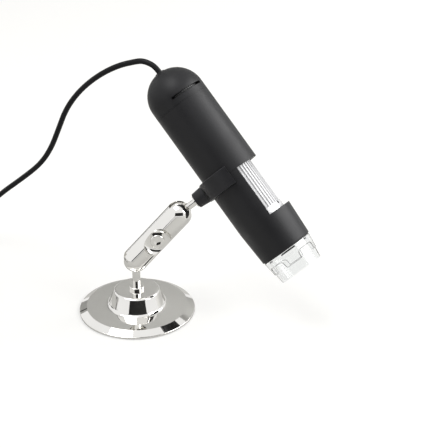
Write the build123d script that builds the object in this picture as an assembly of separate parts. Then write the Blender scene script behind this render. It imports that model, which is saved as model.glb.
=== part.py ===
from build123d import *
import os
from math import cos, pi, radians, sin, sqrt, tan

# A hand-held USB microscope clipped to a chrome ball-joint stand.
# Millimetres. The origin is the centre of the foot's underside, z is up, and the stand leans in the XZ plane
# towards +X. The microscope's own frame has its origin where the clip's axis crosses the barrel's axis, its z
# runs up the barrel to the cable end, and its x points away from the stand, out of the focus window.

# Fits and working allowances
RUN = 0.06
SIDE_GAP = 0.25
SOFT_GAP = 0.3
OVERRUN = 1.0
SHEET_WALL = 1.3
BOARD_THICK = 1.2

# Foot
PAD_THICK = 1.0
FOOT_RADIUS = 34.0
RIM_CLEAR = 0.5
RIM_HEIGHT = 0.9
BEVEL_WIDTH = 4.3
BEVEL_RISE = 2.4
PLATE_RISE = 0.9
HUB_ROOT_RADIUS = 16.9
HUB_TOP_RADIUS = 13.1
HUB_TOP = 14.3
HUB_EDGE = 1.9
HUB_FILLET = 2.6

# Ball studs
BALL_RADIUS = 5.0
LOWER_BALL_HEIGHT = 33.7
LOWER_ROD_RADIUS = 2.3
COLLAR_RADIUS = 4.5
COLLAR_HEIGHT = 1.9
COLLAR_EDGE = 0.6
LOWER_SHANK_RADIUS = 2.0
NUT_RADIUS = 4.0
NUT_HEIGHT = 3.2
WASHER_RADIUS = 4.6
WASHER_THICK = 0.7
UPPER_ROD_RADIUS = 2.0
FLANGE_RADIUS = 3.5
FLANGE_THICK = 0.9
FLANGE_DISTANCE = 12.1
UPPER_SHANK_RADIUS = 1.5

# Clamping arm
ARM_RADIUS = 7.45
ARM_SPAN = 38.1
ARM_LEAN = 41.6
SHELL_SPLIT = 0.8
DISH_FLOOR = 4.6
DISH_CLEAR = 0.35
DISH_ROUND = 4.5
DISH_SWEEP = 65.0
SLOT_CLEAR = 0.35
CAVITY_RADIUS = 4.2
CAVITY_START = 3.0
CAVITY_END = 11.4
BOLT_RADIUS = 1.9
BOLT_HEAD_RADIUS = 4.25
BOLT_HEAD_THICK = 2.2
BOLT_HEAD_EDGE = 0.8
HEX_RADIUS = 2.1
HEX_DEPTH = 1.5
KNOB_RADIUS = 4.4
KNOB_THICK = 5.0
KNOB_GROOVES = 20
KNOB_GROOVE_RADIUS = 0.4
KNOB_EDGE = 0.5
BOLT_END_SHORT = 0.8

# Clip
ROD_LEAN = 52.0
CLIP_WIDTH = 11.0
CLIP_WALL = 2.7
CLIP_MOUTH_HALF_ANGLE = 83.0
CLIP_EDGE = 0.5
BOSS_ROOT_RADIUS = 5.35
BOSS_END_RADIUS = 4.6
BOSS_LENGTH = 6.44
INSERT_LENGTH = 7.0
INSERT_RADIUS = 2.6
INSERT_SHOULDER = 0.4

# Microscope casing
SWIVEL = 25.6
BARREL_RADIUS = 16.8
CASE_WALL = 1.8
JOINT_LEVEL = 0.9
UPPER_LENGTH = 47.1
CAP_SIDE = 5.7
WINDOW_LENGTH = 31.6
WINDOW_HALF_ANGLE = 66.0
FRONT_LENGTH = 20.6
FRONT_TAPER = 1.1
FRONT_EDGE = 0.3
LIP_LENGTH = 3.0
LIP_WALL = 1.3
LIP_END_ANGLE = 3.0
LEDGE_WIDTH = 1.6
LEDGE_THICK = 1.1
RAIL_WIDTH = 1.6
RAIL_DEPTH = 2.0
WEB_THICK = 2.0
WEB_DROP = 0.5
SEAM_GROOVE = 0.25
BOARD_RISE = 1.0

# Light control
SLOT_RISE = 4.5
SLOT_HEIGHT = 1.5
SLOT_TURN = -51.0
SLOT_HALF_ANGLE = 38.0
WHEEL_RADIUS = 9.0
WHEEL_THICK = 1.0
WHEEL_INSET = 0.1
WHEEL_TEETH = 40
WHEEL_TOOTH_RADIUS = 0.3
POT_CLEAR = 0.12
POT_PIN_RADIUS = 1.0

# Focus mechanism
ROLLER_INSET = 2.3
ROLLER_TOP = 3.4
ROLLER_WALL = 1.98
FLUTES = 40
FLUTE_RADIUS = 0.6
FLUTE_DEPTH = 0.55
RING_PROUD = 0.5
RING_HEIGHT = 4.2
RING_EDGE = 0.3
GRUB_RADIUS = 0.9
GRUB_TURN = -19.5
GRUB_RISE = 2.9
GRUB_LENGTH = 1.6
GRUB_RECESS = 0.5
CHASSIS_WALL = 1.35
FLANGE_DROP = 0.6
CHASSIS_TAIL = 5.4
GUIDE_SLOTS = 3
GUIDE_SLOT_WIDTH = 3.0
GUIDE_SLOT_TOP = -1.5
GUIDE_SLOT_LENGTH = 26.0
CARRIAGE_LENGTH = 17.0
CARRIAGE_TOP = -6.0
LUG_HEIGHT = 5.0
FOCUS_TRAVEL = 4.0
FOCUS_TURN = 240.0
CARRIAGE_WALL = 3.25
LENS_BARREL_WALL = 1.3
LENS_BARREL_LENGTH = 22.0
LENS_BARREL_OUT = 4.0
LENS_THICK = 2.2
LENS_CROWN = 0.8
LENS_COUNT = 2

# Electronics
SENSOR_SIDE = 8.0
SENSOR_THICK = 1.2
MAIN_BOARD_HEADROOM = 4.35
MAIN_BOARD_OFFSET = 2.0
CHIP_THICK = 1.4
CHIP_SIDE = 9.0
CHIP_SHARES = [
    (1, 0.0, 0.45, 1.0, 1.0),
    (1, 0.2, 0.78, 0.56, 0.44),
    (1, -0.25, 0.75, 0.44, 0.33),
    (-1, 0.0, 0.88, 1.0, 0.44),
    (-1, 0.0, 0.15, 0.89, 0.44),
]
BOARD_SCREWS = 3
SCREW_RADIUS = 0.8
SCREW_HEAD_RADIUS = 1.5
SCREW_HEAD_THICK = 1.0
SCREW_EDGE = 0.49
LED_COUNT = 8
LED_EDGE = 0.39
LED_RADIUS = 1.5
LED_HEIGHT = 3.4
LED_BOARD_RIM = 1.3

# Clear nozzle
NOZZLE_LENGTH = 14.9
NOZZLE_STEP = 0.5
NOZZLE_TAPER = 1.75
NOZZLE_WALL = 1.1
SPIGOT_LENGTH = 4.2
SEAL_THICK = 0.6
SKIN_STEP = 0.45
SKIN_END = 8.9
ARCHES = 4
ARCH_TURN = 52.0
ARCH_HALF_ANGLE = 21.0
ARCH_HEIGHT = 4.4
ARCH_CORNER = 1.6

# USB cord
CORD_RADIUS = 1.65
GROMMET_WALL = 1.25
GROMMET_PROUD = 0.1
GROMMET_FLANGE_WIDTH = 1.5
GROMMET_FLANGE_THICK = 1.2
INNER_CORD_HEADROOM = 2.1
EXIT_RUN = 4.2
ROUTE = [
    (10.2, 34.8, 141.1),
    (7.2, 36.5, 141.4),
    (4.0, 38.5, 140.6),
    (-6.9, 44.3, 136.2),
    (-18.6, 49.0, 128.6),
    (-29.6, 53.5, 118.1),
    (-38.2, 58.0, 105.2),
    (-43.6, 62.0, 90.8),
    (-49.0, 66.0, 76.6),
    (-56.4, 70.0, 64.4),
    (-68.6, 75.5, 52.6),
    (-83.0, 82.0, 39.8),
    (-97.0, 89.5, 24.5),
    (-109.0, 97.0, 10.5),
    (-120.0, 101.5, 2.6),
    (-131.5, 99.0, 1.65),
    (-138.4, 87.5, 1.65),
    (-138.4, 72.5, 2.6),
]
BEND_SHARE = 0.45

# Put-away coil and its tie
COIL_X = -162.5
COIL_Y = 57.0
COIL_RADIUS = 19.8
COIL_LAYERS = 4
HALF_TURNS_PER_LAYER = 4
TURN_GAP = 1.0
TIE_WIDTH = 5.0
TIE_THICK = 0.7
TIE_CORNER = 1.2
GAP_SAMPLES_PER_ARC = 24

# USB plug
TAIL_RUN = 14.0
TAIL_DROP_RUN = 16.0
TAIL_FIRST_DROP = 4.0
RELIEF_LENGTH = 10.0
RELIEF_WALL = 0.95
RELIEF_RIBS = 4
RELIEF_GROOVE = 0.5
PLUG_WIDTH = 15.6
PLUG_HEIGHT = 7.8
PLUG_LENGTH = 22.0
PLUG_EDGE = 1.6
METAL_WIDTH = 12.0
METAL_HEIGHT = 4.5
METAL_LENGTH = 11.8
METAL_WALL = 0.3
TONGUE_THICK = 1.8
CONTACTS = 4
CONTACT_WIDTH = 1.0
CONTACT_PITCH = 2.25
CONTACT_THICK = 0.15

# Levels and frames worked out from the sizes above
RIM_TOP = RIM_CLEAR + RIM_HEIGHT
DISH_RADIUS = max(BOLT_HEAD_RADIUS, KNOB_RADIUS) + DISH_CLEAR
BEVEL_TOP = RIM_TOP + BEVEL_RISE
PLATE_TOP = BEVEL_TOP + PLATE_RISE
SEAM_LEVEL = JOINT_LEVEL + UPPER_LENGTH
APEX_LEVEL = SEAM_LEVEL + CAP_SIDE + BARREL_RADIUS
WINDOW_LEVEL = JOINT_LEVEL - WINDOW_LENGTH
END_LEVEL = WINDOW_LEVEL - FRONT_LENGTH
CASE_BORE = BARREL_RADIUS - CASE_WALL
FRONT_END_RADIUS = BARREL_RADIUS - FRONT_TAPER
ROLLER_RADIUS = CASE_BORE - ROLLER_INSET
ROLLER_BORE = ROLLER_RADIUS - ROLLER_WALL
RING_RADIUS = ROLLER_RADIUS + RING_PROUD
CHASSIS_RADIUS = ROLLER_BORE - RUN
CHASSIS_BORE = CHASSIS_RADIUS - CHASSIS_WALL
LENS_BARREL_RADIUS = CHASSIS_BORE - RUN - CARRIAGE_WALL
SCREW_CIRCLE = CHASSIS_RADIUS + SCREW_EDGE + SCREW_RADIUS
NOZZLE_TOP_RADIUS = FRONT_END_RADIUS - NOZZLE_STEP
NOZZLE_TIP_RADIUS = NOZZLE_TOP_RADIUS - NOZZLE_TAPER
SPIGOT_RADIUS = FRONT_END_RADIUS - CASE_WALL - RUN
LED_CIRCLE = SPIGOT_RADIUS - NOZZLE_WALL - LED_EDGE - LED_RADIUS
LED_BOARD_BORE = LED_CIRCLE - LED_RADIUS - LED_BOARD_RIM
LIP_RADIUS = CASE_BORE - RUN
LIGHT_BOARD_RADIUS = LIP_RADIUS - LIP_WALL - RUN
LIGHT_LEDGE_BORE = LIGHT_BOARD_RADIUS - LEDGE_THICK
WHEEL_REACH = BARREL_RADIUS - WHEEL_INSET - WHEEL_RADIUS
GROMMET_RADIUS = CORD_RADIUS + GROMMET_WALL
GROMMET_FLANGE_RADIUS = GROMMET_RADIUS + GROMMET_FLANGE_WIDTH
TURN_PITCH = 2 * CORD_RADIUS + TURN_GAP
RELIEF_RADIUS = CORD_RADIUS + RELIEF_WALL
LEDGE_TOP = ROLLER_TOP + SIDE_GAP + LEDGE_THICK
FLANGE_TOP = LEDGE_TOP + LEDGE_THICK + FLANGE_DROP
SENSOR_BOARD_TOP = FLANGE_TOP + BOARD_THICK
MAIN_BOARD_LENGTH = SEAM_LEVEL - MAIN_BOARD_HEADROOM - SENSOR_BOARD_TOP
LIGHT_BOARD_TOP = SEAM_LEVEL + BOARD_RISE + BOARD_THICK
WHEEL_LEVEL = SEAM_LEVEL + SLOT_RISE
RING_BOTTOM = WINDOW_LEVEL - WEB_DROP + SIDE_GAP
RING_TOP = RING_BOTTOM + RING_HEIGHT
LED_BOARD_TOP = END_LEVEL + SPIGOT_LENGTH + SIDE_GAP + BOARD_THICK
CLIP_BORE = BARREL_RADIUS + RUN
BOSS_END = CLIP_BORE + CLIP_WALL + BOSS_LENGTH
ROD_REACH = BOSS_END + FLANGE_THICK + FLANGE_DISTANCE

LOWER_BALL = Vector(0, 0, LOWER_BALL_HEIGHT)
ARM_WAY = Vector(sin(radians(ARM_LEAN)), 0, cos(radians(ARM_LEAN)))
UPPER_BALL = LOWER_BALL + ARM_WAY * ARM_SPAN
ROD_WAY = Vector(sin(radians(ROD_LEAN)), 0, cos(radians(ROD_LEAN)))
ROD_DOWN = Vector(cos(radians(ROD_LEAN)), 0, -sin(radians(ROD_LEAN)))
CLIP_CENTRE = UPPER_BALL + ROD_WAY * ROD_REACH
BARREL_UP = Vector(0, 1, 0) * sin(radians(SWIVEL)) - ROD_DOWN * cos(radians(SWIVEL))
ARM_DOWN = Vector(cos(radians(ARM_LEAN)), 0, -sin(radians(ARM_LEAN)))
ARM = Plane(origin=LOWER_BALL, x_dir=ARM_DOWN, z_dir=ARM_WAY)
ROD = Plane(origin=UPPER_BALL, x_dir=ROD_DOWN, z_dir=ROD_WAY)
SCOPE = Plane(origin=CLIP_CENTRE, x_dir=ROD_WAY, z_dir=BARREL_UP)
CORD_EXIT = CLIP_CENTRE + BARREL_UP * (APEX_LEVEL + GROMMET_PROUD)


# Shared shapes
def disc(radius, low, high):
    """A solid cylinder on the z axis from one level to another."""
    return Pos(0, 0, low) * Cylinder(radius, high - low, align=(Align.CENTER, Align.CENTER, Align.MIN))


def tube(outer, inner, low, high):
    """A ring on the z axis between two levels."""
    return disc(outer, low, high) - disc(inner, low - OVERRUN, high + OVERRUN)


def cone(base_radius, top_radius, height):
    """A cone or taper that stands on z zero."""
    return Cone(base_radius, top_radius, height, align=(Align.CENTER, Align.CENTER, Align.MIN))


def turned(points):
    """The solid swept by an outline of radius and height points turned about the z axis."""
    return revolve(Plane.XZ * make_face(Polyline(*points, close=True)), Axis.Z)


def rounded(face, spots, radius):
    """A face with the corners nearest the given spots rounded."""
    corners = [face.vertices().sort_by_distance(spot)[0] for spot in spots]
    return fillet(corners, radius)


def sector(radius, half_angle, low, high):
    """A pie-shaped block that opens along +x by the half angle to each side."""
    ends = [(radius * cos(radians(a)), radius * sin(radians(a))) for a in (-half_angle, half_angle)]
    pie = Line((0, 0), ends[0]) + ThreePointArc(ends[0], (radius, 0), ends[1]) + Line(ends[1], (0, 0))
    return Pos(0, 0, low) * extrude(make_face(pie), high - low)


def block(width, depth, low, high):
    """A box centred on the z axis between two levels."""
    return Pos(0, 0, low) * Box(width, depth, high - low, align=(Align.CENTER, Align.CENTER, Align.MIN))


def knurled(radius, low, high, grooves, groove_radius):
    """A cylinder with round grooves all round its rim."""
    cutters = PolarLocations(radius, grooves) * Circle(groove_radius)
    return Pos(0, 0, low) * extrude(Circle(radius) - cutters, high - low)


# Foot
def foot_inner_points():
    """The underside of the pressed cover, from its rim in to its hub."""
    slope = (HUB_ROOT_RADIUS - HUB_TOP_RADIUS) / (HUB_TOP - PLATE_TOP)
    return [
        (FOOT_RADIUS - SHEET_WALL, RIM_TOP - SHEET_WALL / 2),
        (FOOT_RADIUS - BEVEL_WIDTH - SHEET_WALL / 2, BEVEL_TOP - SHEET_WALL),
        (HUB_ROOT_RADIUS - SHEET_WALL + slope * SHEET_WALL, PLATE_TOP - SHEET_WALL),
        (HUB_TOP_RADIUS - SHEET_WALL, HUB_TOP - SHEET_WALL),
    ]


def foot_cover():
    outline = [
        (0, RIM_CLEAR),
        (FOOT_RADIUS, RIM_CLEAR),
        (FOOT_RADIUS, RIM_TOP),
        (FOOT_RADIUS - BEVEL_WIDTH, BEVEL_TOP),
        (HUB_ROOT_RADIUS, PLATE_TOP),
        (HUB_TOP_RADIUS, HUB_TOP),
        (0, HUB_TOP),
    ]
    face = make_face(Polyline(*outline, close=True))
    face = rounded(face, [(HUB_ROOT_RADIUS, PLATE_TOP)], HUB_FILLET)
    face = rounded(face, [(HUB_TOP_RADIUS, HUB_TOP)], HUB_EDGE)
    face = rounded(face, [(FOOT_RADIUS, RIM_TOP)], RIM_HEIGHT / 2)
    cover = revolve(Plane.XZ * face, Axis.Z)
    inner = foot_inner_points()
    hollow = turned([(0, 0), (inner[0][0], 0), *inner, (0, inner[-1][1])])
    return cover - hollow - disc(LOWER_SHANK_RADIUS + RUN, 0, HUB_TOP + OVERRUN)


def pad_recess_radius():
    """The inside of the pressed cover at the level of the pad's top."""
    (r0, z0), (r1, z1) = foot_inner_points()[:2]
    return r0 - (PAD_THICK - z0) * (r0 - r1) / (z1 - z0)


def foot_weight():
    (r1, z1), (r2, z2), (r3, z3) = foot_inner_points()[1:]
    outline = [
        (0, PAD_THICK),
        (pad_recess_radius() - SIDE_GAP, PAD_THICK),
        (r1 - SIDE_GAP, z1 - SIDE_GAP),
        (r2 - SIDE_GAP, z2 - SIDE_GAP),
        (r3 - SIDE_GAP, z3),
        (0, z3),
    ]
    pocket_top = nut_top() + WASHER_THICK
    weight = turned(outline) - disc(LOWER_SHANK_RADIUS + SIDE_GAP, 0, HUB_TOP)
    return weight - disc(WASHER_RADIUS + SIDE_GAP, 0, pocket_top)


def nut_top():
    """The level of the stud nut's top, under its washer."""
    return PAD_THICK + SIDE_GAP + BOARD_THICK + NUT_HEIGHT


def foot_pad():
    return disc(pad_recess_radius() - SOFT_GAP, 0, PAD_THICK)


def foot_washer():
    return tube(WASHER_RADIUS, LOWER_SHANK_RADIUS + SIDE_GAP, nut_top(), nut_top() + WASHER_THICK)


# Studs
def lower_stud():
    collar = disc(COLLAR_RADIUS, HUB_TOP, HUB_TOP + COLLAR_HEIGHT)
    collar = fillet(collar.edges().sort_by(Axis.Z)[-1], COLLAR_EDGE)
    rod = disc(LOWER_ROD_RADIUS, HUB_TOP, LOWER_BALL_HEIGHT)
    shank = disc(LOWER_SHANK_RADIUS, nut_top() - NUT_HEIGHT, HUB_TOP)
    return collar + rod + shank + Pos(0, 0, LOWER_BALL_HEIGHT) * Sphere(BALL_RADIUS)


def stud_nut():
    nut = extrude(RegularPolygon(NUT_RADIUS, 6), NUT_HEIGHT)
    return Pos(0, 0, nut_top() - NUT_HEIGHT) * nut - disc(LOWER_SHANK_RADIUS, 0, HUB_TOP)


def upper_stud():
    rod = disc(UPPER_ROD_RADIUS, 0, FLANGE_DISTANCE)
    flange = disc(FLANGE_RADIUS, FLANGE_DISTANCE, FLANGE_DISTANCE + FLANGE_THICK)
    shank_start = FLANGE_DISTANCE + FLANGE_THICK
    shank_end = shank_start + INSERT_LENGTH - INSERT_SHOULDER
    shank = disc(UPPER_SHANK_RADIUS, shank_start, shank_end)
    return ROD * (rod + flange + shank + Sphere(BALL_RADIUS))


# Clamping arm
def arm_middle(solid):
    """Carries a shape drawn along +z to the arm's middle, pointing at the front of the stand."""
    return ARM * Pos(0, 0, ARM_SPAN / 2) * Rot(90, 0, 0) * solid


def dish_cutter():
    """The round dish pressed into the middle of a shell, with a flared side."""
    flare = radians(DISH_SWEEP)
    start = (DISH_RADIUS, DISH_FLOOR)
    middle = (
        DISH_RADIUS + DISH_ROUND * sin(flare / 2),
        DISH_FLOOR + DISH_ROUND * (1 - cos(flare / 2)),
    )
    end = (DISH_RADIUS + DISH_ROUND * sin(flare), DISH_FLOOR + DISH_ROUND * (1 - cos(flare)))
    top = ARM_RADIUS + OVERRUN
    outline = Line((0, DISH_FLOOR), start) + ThreePointArc(start, middle, end)
    outline += Polyline(end, (end[0], top), (0, top), (0, DISH_FLOOR))
    return revolve(Plane.XZ * make_face(outline), Axis.Z)


def arm_shell(side):
    """One half of the arm: side is 1 for the front shell and -1 for the rear one."""
    arm = disc(ARM_RADIUS, 0, ARM_SPAN)
    arm += Sphere(ARM_RADIUS)
    arm += Pos(0, 0, ARM_SPAN) * Sphere(ARM_RADIUS)
    reach = ARM_RADIUS + OVERRUN
    for centre, turn, rod in ((0, 180, LOWER_ROD_RADIUS), (ARM_SPAN, 0, UPPER_ROD_RADIUS)):
        seat = Sphere(BALL_RADIUS + RUN)
        slot = block(2 * reach, 2 * (rod + SLOT_CLEAR), 0, reach)
        cavity = Rot(180, 0, 0) * disc(CAVITY_RADIUS, CAVITY_START, CAVITY_END)
        arm -= Pos(0, 0, centre) * Rot(turn, 0, 0) * (seat + slot + cavity)
    whole = 2 * (ARM_SPAN + reach)
    keep = Pos(0, -side * (SHELL_SPLIT / 2 + whole / 2), 0) * Box(whole, whole, whole)
    shell = ARM * (arm & keep)
    face_turn = 0 if side > 0 else 180
    shell -= arm_middle(Rot(face_turn, 0, 0) * dish_cutter())
    return shell - arm_middle(disc(BOLT_RADIUS + RUN, -reach, reach))


def bolt_end():
    """How far behind the arm's middle plane the bolt stops, just inside the knob's end."""
    return DISH_FLOOR + KNOB_THICK - BOLT_END_SHORT


def clamp_bolt():
    head = disc(BOLT_HEAD_RADIUS, DISH_FLOOR, DISH_FLOOR + BOLT_HEAD_THICK)
    head = fillet(head.edges().sort_by(Axis.Z)[-1], BOLT_HEAD_EDGE)
    socket = extrude(RegularPolygon(HEX_RADIUS, 6), OVERRUN + HEX_DEPTH)
    socket = Pos(0, 0, DISH_FLOOR + BOLT_HEAD_THICK - HEX_DEPTH) * socket
    return arm_middle(head - socket + disc(BOLT_RADIUS, -bolt_end(), DISH_FLOOR))


def clamp_knob():
    knob = knurled(KNOB_RADIUS, DISH_FLOOR, DISH_FLOOR + KNOB_THICK, KNOB_GROOVES, KNOB_GROOVE_RADIUS)
    knob &= Pos(0, 0, DISH_FLOOR) * cone(KNOB_RADIUS + KNOB_THICK, KNOB_RADIUS - KNOB_EDGE, KNOB_THICK)
    knob -= disc(BOLT_RADIUS + RUN, 0, DISH_FLOOR + KNOB_THICK + OVERRUN)
    return arm_middle(Rot(180, 0, 0) * knob)


# Clip
def holder_clip():
    outer = CLIP_BORE + CLIP_WALL
    ring = disc(outer, -CLIP_WIDTH / 2, CLIP_WIDTH / 2)
    ring = fillet(ring.edges(), CLIP_EDGE)
    boss_root = BARREL_RADIUS + CLIP_WALL / 2
    boss = Pos(0, 0, boss_root) * cone(BOSS_ROOT_RADIUS, BOSS_END_RADIUS, BOSS_END - boss_root)
    bore = disc(CLIP_BORE, -CLIP_WIDTH, CLIP_WIDTH)
    mouth = sector(2 * outer, CLIP_MOUTH_HALF_ANGLE, -CLIP_WIDTH, CLIP_WIDTH)
    seat = Rot(0, -90, 0) * disc(INSERT_RADIUS, insert_start(), BOSS_END + OVERRUN)
    return SCOPE * (ring + Rot(0, -90, 0) * boss - bore - mouth - seat)


def insert_start():
    """How far from the barrel's axis the threaded insert begins."""
    return BOSS_END - INSERT_LENGTH


def clip_insert():
    insert = tube(INSERT_RADIUS, UPPER_SHANK_RADIUS + RUN, insert_start(), BOSS_END)
    return SCOPE * Rot(0, -90, 0) * insert


# Casing
def top_cap():
    dome_level = SEAM_LEVEL + CAP_SIDE
    cap = disc(BARREL_RADIUS, SEAM_LEVEL, dome_level) + Pos(0, 0, dome_level) * Sphere(BARREL_RADIUS)
    cap &= disc(2 * BARREL_RADIUS, SEAM_LEVEL, APEX_LEVEL + OVERRUN)
    hollow = disc(CASE_BORE, SEAM_LEVEL - OVERRUN, dome_level) + Pos(0, 0, dome_level) * Sphere(CASE_BORE)
    wall_middle = BARREL_RADIUS - CASE_WALL / 2
    lip = tube(LIP_RADIUS, LIP_RADIUS - LIP_WALL, SEAM_LEVEL - LIP_LENGTH, LIGHT_BOARD_TOP)
    lip += tube(wall_middle, LIP_RADIUS - LIP_WALL, SEAM_LEVEL, LIGHT_BOARD_TOP)
    lip += tube(wall_middle, LIGHT_LEDGE_BORE, LIGHT_BOARD_TOP, LIGHT_BOARD_TOP + LEDGE_THICK)
    step = tube(BARREL_RADIUS, BARREL_RADIUS - SEAM_GROOVE, SEAM_LEVEL - OVERRUN, SEAM_LEVEL + SEAM_GROOVE)
    slot_low = WHEEL_LEVEL - SLOT_HEIGHT / 2
    slot = sector(2 * BARREL_RADIUS, SLOT_HALF_ANGLE, slot_low, slot_low + SLOT_HEIGHT)
    cap = cap - hollow - Rot(0, 0, SLOT_TURN) * slot - disc(GROMMET_RADIUS, dome_level, APEX_LEVEL + OVERRUN)
    return SCOPE * (cap - step + lip)


def upper_barrel():
    barrel = tube(BARREL_RADIUS, CASE_BORE, JOINT_LEVEL, SEAM_LEVEL)
    ledge = tube(CASE_BORE + OVERRUN, CASE_BORE - LEDGE_WIDTH, LEDGE_TOP - LEDGE_THICK, LEDGE_TOP)
    rail_low = SENSOR_BOARD_TOP + SIDE_GAP
    rail_high = SEAM_LEVEL - LIP_LENGTH - SIDE_GAP
    rails = []
    for across in (-1, 1):
        for beside in (-1, 1):
            offset = MAIN_BOARD_OFFSET + beside * (BOARD_THICK / 2 + RUN + RAIL_WIDTH / 2)
            rail = block(RAIL_WIDTH, 2 * RAIL_DEPTH, rail_low, rail_high)
            rails.append(Pos(offset, across * CASE_BORE, 0) * rail)
    inside = disc(CASE_BORE + OVERRUN / 2, JOINT_LEVEL, SEAM_LEVEL)
    lip = tube(LIP_RADIUS, LIP_RADIUS - LIP_WALL, JOINT_LEVEL - LIP_LENGTH, JOINT_LEVEL + LIP_WALL)
    lip += tube(CASE_BORE + OVERRUN / 2, LIP_RADIUS - LIP_WALL, JOINT_LEVEL, JOINT_LEVEL + LIP_WALL)
    lip_low = JOINT_LEVEL - 2 * LIP_LENGTH
    lip -= sector(2 * BARREL_RADIUS, WINDOW_HALF_ANGLE + LIP_END_ANGLE, lip_low, JOINT_LEVEL)
    for rail in rails:
        barrel += rail & inside
    return SCOPE * (barrel + ledge + lip)


def front_radius(level, inset):
    """The front casing's radius at a level below the window, less an inset."""
    share = (WINDOW_LEVEL - level) / FRONT_LENGTH
    return BARREL_RADIUS - (BARREL_RADIUS - FRONT_END_RADIUS) * share - inset


def lower_barrel():
    outline = [
        (0, JOINT_LEVEL),
        (BARREL_RADIUS, JOINT_LEVEL),
        (BARREL_RADIUS, WINDOW_LEVEL),
        (FRONT_END_RADIUS, END_LEVEL),
        (0, END_LEVEL),
    ]
    face = make_face(Polyline(*outline, close=True))
    face = rounded(face, [(FRONT_END_RADIUS, END_LEVEL)], FRONT_EDGE)
    barrel = revolve(Plane.XZ * face, Axis.Z)
    below = END_LEVEL - OVERRUN
    barrel -= turned(
        [
            (0, JOINT_LEVEL + OVERRUN),
            (CASE_BORE, JOINT_LEVEL + OVERRUN),
            (CASE_BORE, WINDOW_LEVEL),
            (front_radius(below, CASE_WALL), below),
            (0, below),
        ]
    )
    web_top = WINDOW_LEVEL - WEB_DROP
    web = tube(CASE_BORE + OVERRUN / 2, CHASSIS_RADIUS + RUN, web_top - WEB_THICK, web_top)
    ledge_low = LED_BOARD_TOP
    ledge_radius = front_radius(ledge_low, CASE_WALL / 2)
    ledge = tube(ledge_radius, LED_CIRCLE + LED_RADIUS / 2, ledge_low, ledge_low + LEDGE_THICK)
    window = sector(2 * BARREL_RADIUS, WINDOW_HALF_ANGLE, WINDOW_LEVEL, JOINT_LEVEL + OVERRUN)
    step_radius = BARREL_RADIUS - SEAM_GROOVE
    step = tube(BARREL_RADIUS + OVERRUN, step_radius, JOINT_LEVEL - SEAM_GROOVE, JOINT_LEVEL + OVERRUN)
    return SCOPE * (barrel + web + ledge - window - step)


# Light control
def wheel_centre():
    """Where the dimmer wheel's axis stands, so that its rim fills the slot in the cap."""
    return Vector(WHEEL_REACH * cos(radians(SLOT_TURN)), WHEEL_REACH * sin(radians(SLOT_TURN)), 0)


def pot_side():
    """The side of the square control under the wheel, whose outer corners just clear the ledge."""
    corner = LIGHT_LEDGE_BORE - POT_CLEAR
    return sqrt(2 * corner**2 - WHEEL_REACH**2) - WHEEL_REACH


def light_board():
    board = disc(LIGHT_BOARD_RADIUS, LIGHT_BOARD_TOP - BOARD_THICK, LIGHT_BOARD_TOP)
    return SCOPE * (board - disc(GROMMET_RADIUS, SEAM_LEVEL, LIGHT_BOARD_TOP + OVERRUN))


def dimmer_control():
    top = WHEEL_LEVEL - WHEEL_THICK / 2 - SIDE_GAP
    body = block(pot_side(), pot_side(), LIGHT_BOARD_TOP, top)
    pin = disc(POT_PIN_RADIUS, top, WHEEL_LEVEL + WHEEL_THICK)
    return SCOPE * Pos(wheel_centre()) * Rot(0, 0, SLOT_TURN) * (body + pin)


def dimmer_wheel():
    low = WHEEL_LEVEL - WHEEL_THICK / 2
    wheel = knurled(WHEEL_RADIUS, low, low + WHEEL_THICK, WHEEL_TEETH, WHEEL_TOOTH_RADIUS)
    wheel -= disc(POT_PIN_RADIUS + RUN, low - OVERRUN, low + WHEEL_THICK + OVERRUN)
    return SCOPE * Pos(wheel_centre()) * wheel


# Focus mechanism
def focus_roller():
    cutters = PolarLocations(ROLLER_RADIUS + FLUTE_RADIUS - FLUTE_DEPTH, FLUTES) * Circle(FLUTE_RADIUS)
    fluted = extrude(Circle(ROLLER_RADIUS) - cutters - Circle(ROLLER_BORE), ROLLER_TOP - RING_TOP)
    return SCOPE * Pos(0, 0, RING_TOP) * fluted


def grub_hole(start, end):
    """A radial rod at the grub screw's place on the roller's end ring."""
    rod = Rot(0, 90, 0) * disc(GRUB_RADIUS, start, end)
    return Rot(0, 0, GRUB_TURN) * Pos(0, 0, WINDOW_LEVEL + GRUB_RISE) * rod


def roller_ring():
    ring = disc(RING_RADIUS, RING_BOTTOM, RING_TOP)
    ring = fillet(ring.edges(), RING_EDGE)
    ring -= disc(ROLLER_BORE, RING_BOTTOM - OVERRUN, RING_TOP + OVERRUN)
    return SCOPE * (ring - grub_hole(ROLLER_BORE - OVERRUN, RING_RADIUS + OVERRUN))


def grub_screw():
    end = RING_RADIUS - GRUB_RECESS
    return SCOPE * grub_hole(end - GRUB_LENGTH, end)


def chassis():
    low = WINDOW_LEVEL - CHASSIS_TAIL
    body = tube(CHASSIS_RADIUS, CHASSIS_BORE, low, FLANGE_TOP)
    body += tube(CASE_BORE - RUN, CHASSIS_BORE, LEDGE_TOP, FLANGE_TOP)
    slot_low = GUIDE_SLOT_TOP - GUIDE_SLOT_LENGTH
    slot = block(2 * CHASSIS_WALL + OVERRUN, GUIDE_SLOT_WIDTH, slot_low, GUIDE_SLOT_TOP)
    body -= PolarLocations(0, GUIDE_SLOTS) * (Pos(CHASSIS_RADIUS, 0, 0) * slot)
    hole = disc(SCREW_RADIUS, LEDGE_TOP - OVERRUN, FLANGE_TOP + OVERRUN)
    return SCOPE * (body - PolarLocations(SCREW_CIRCLE, BOARD_SCREWS) * hole)


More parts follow.
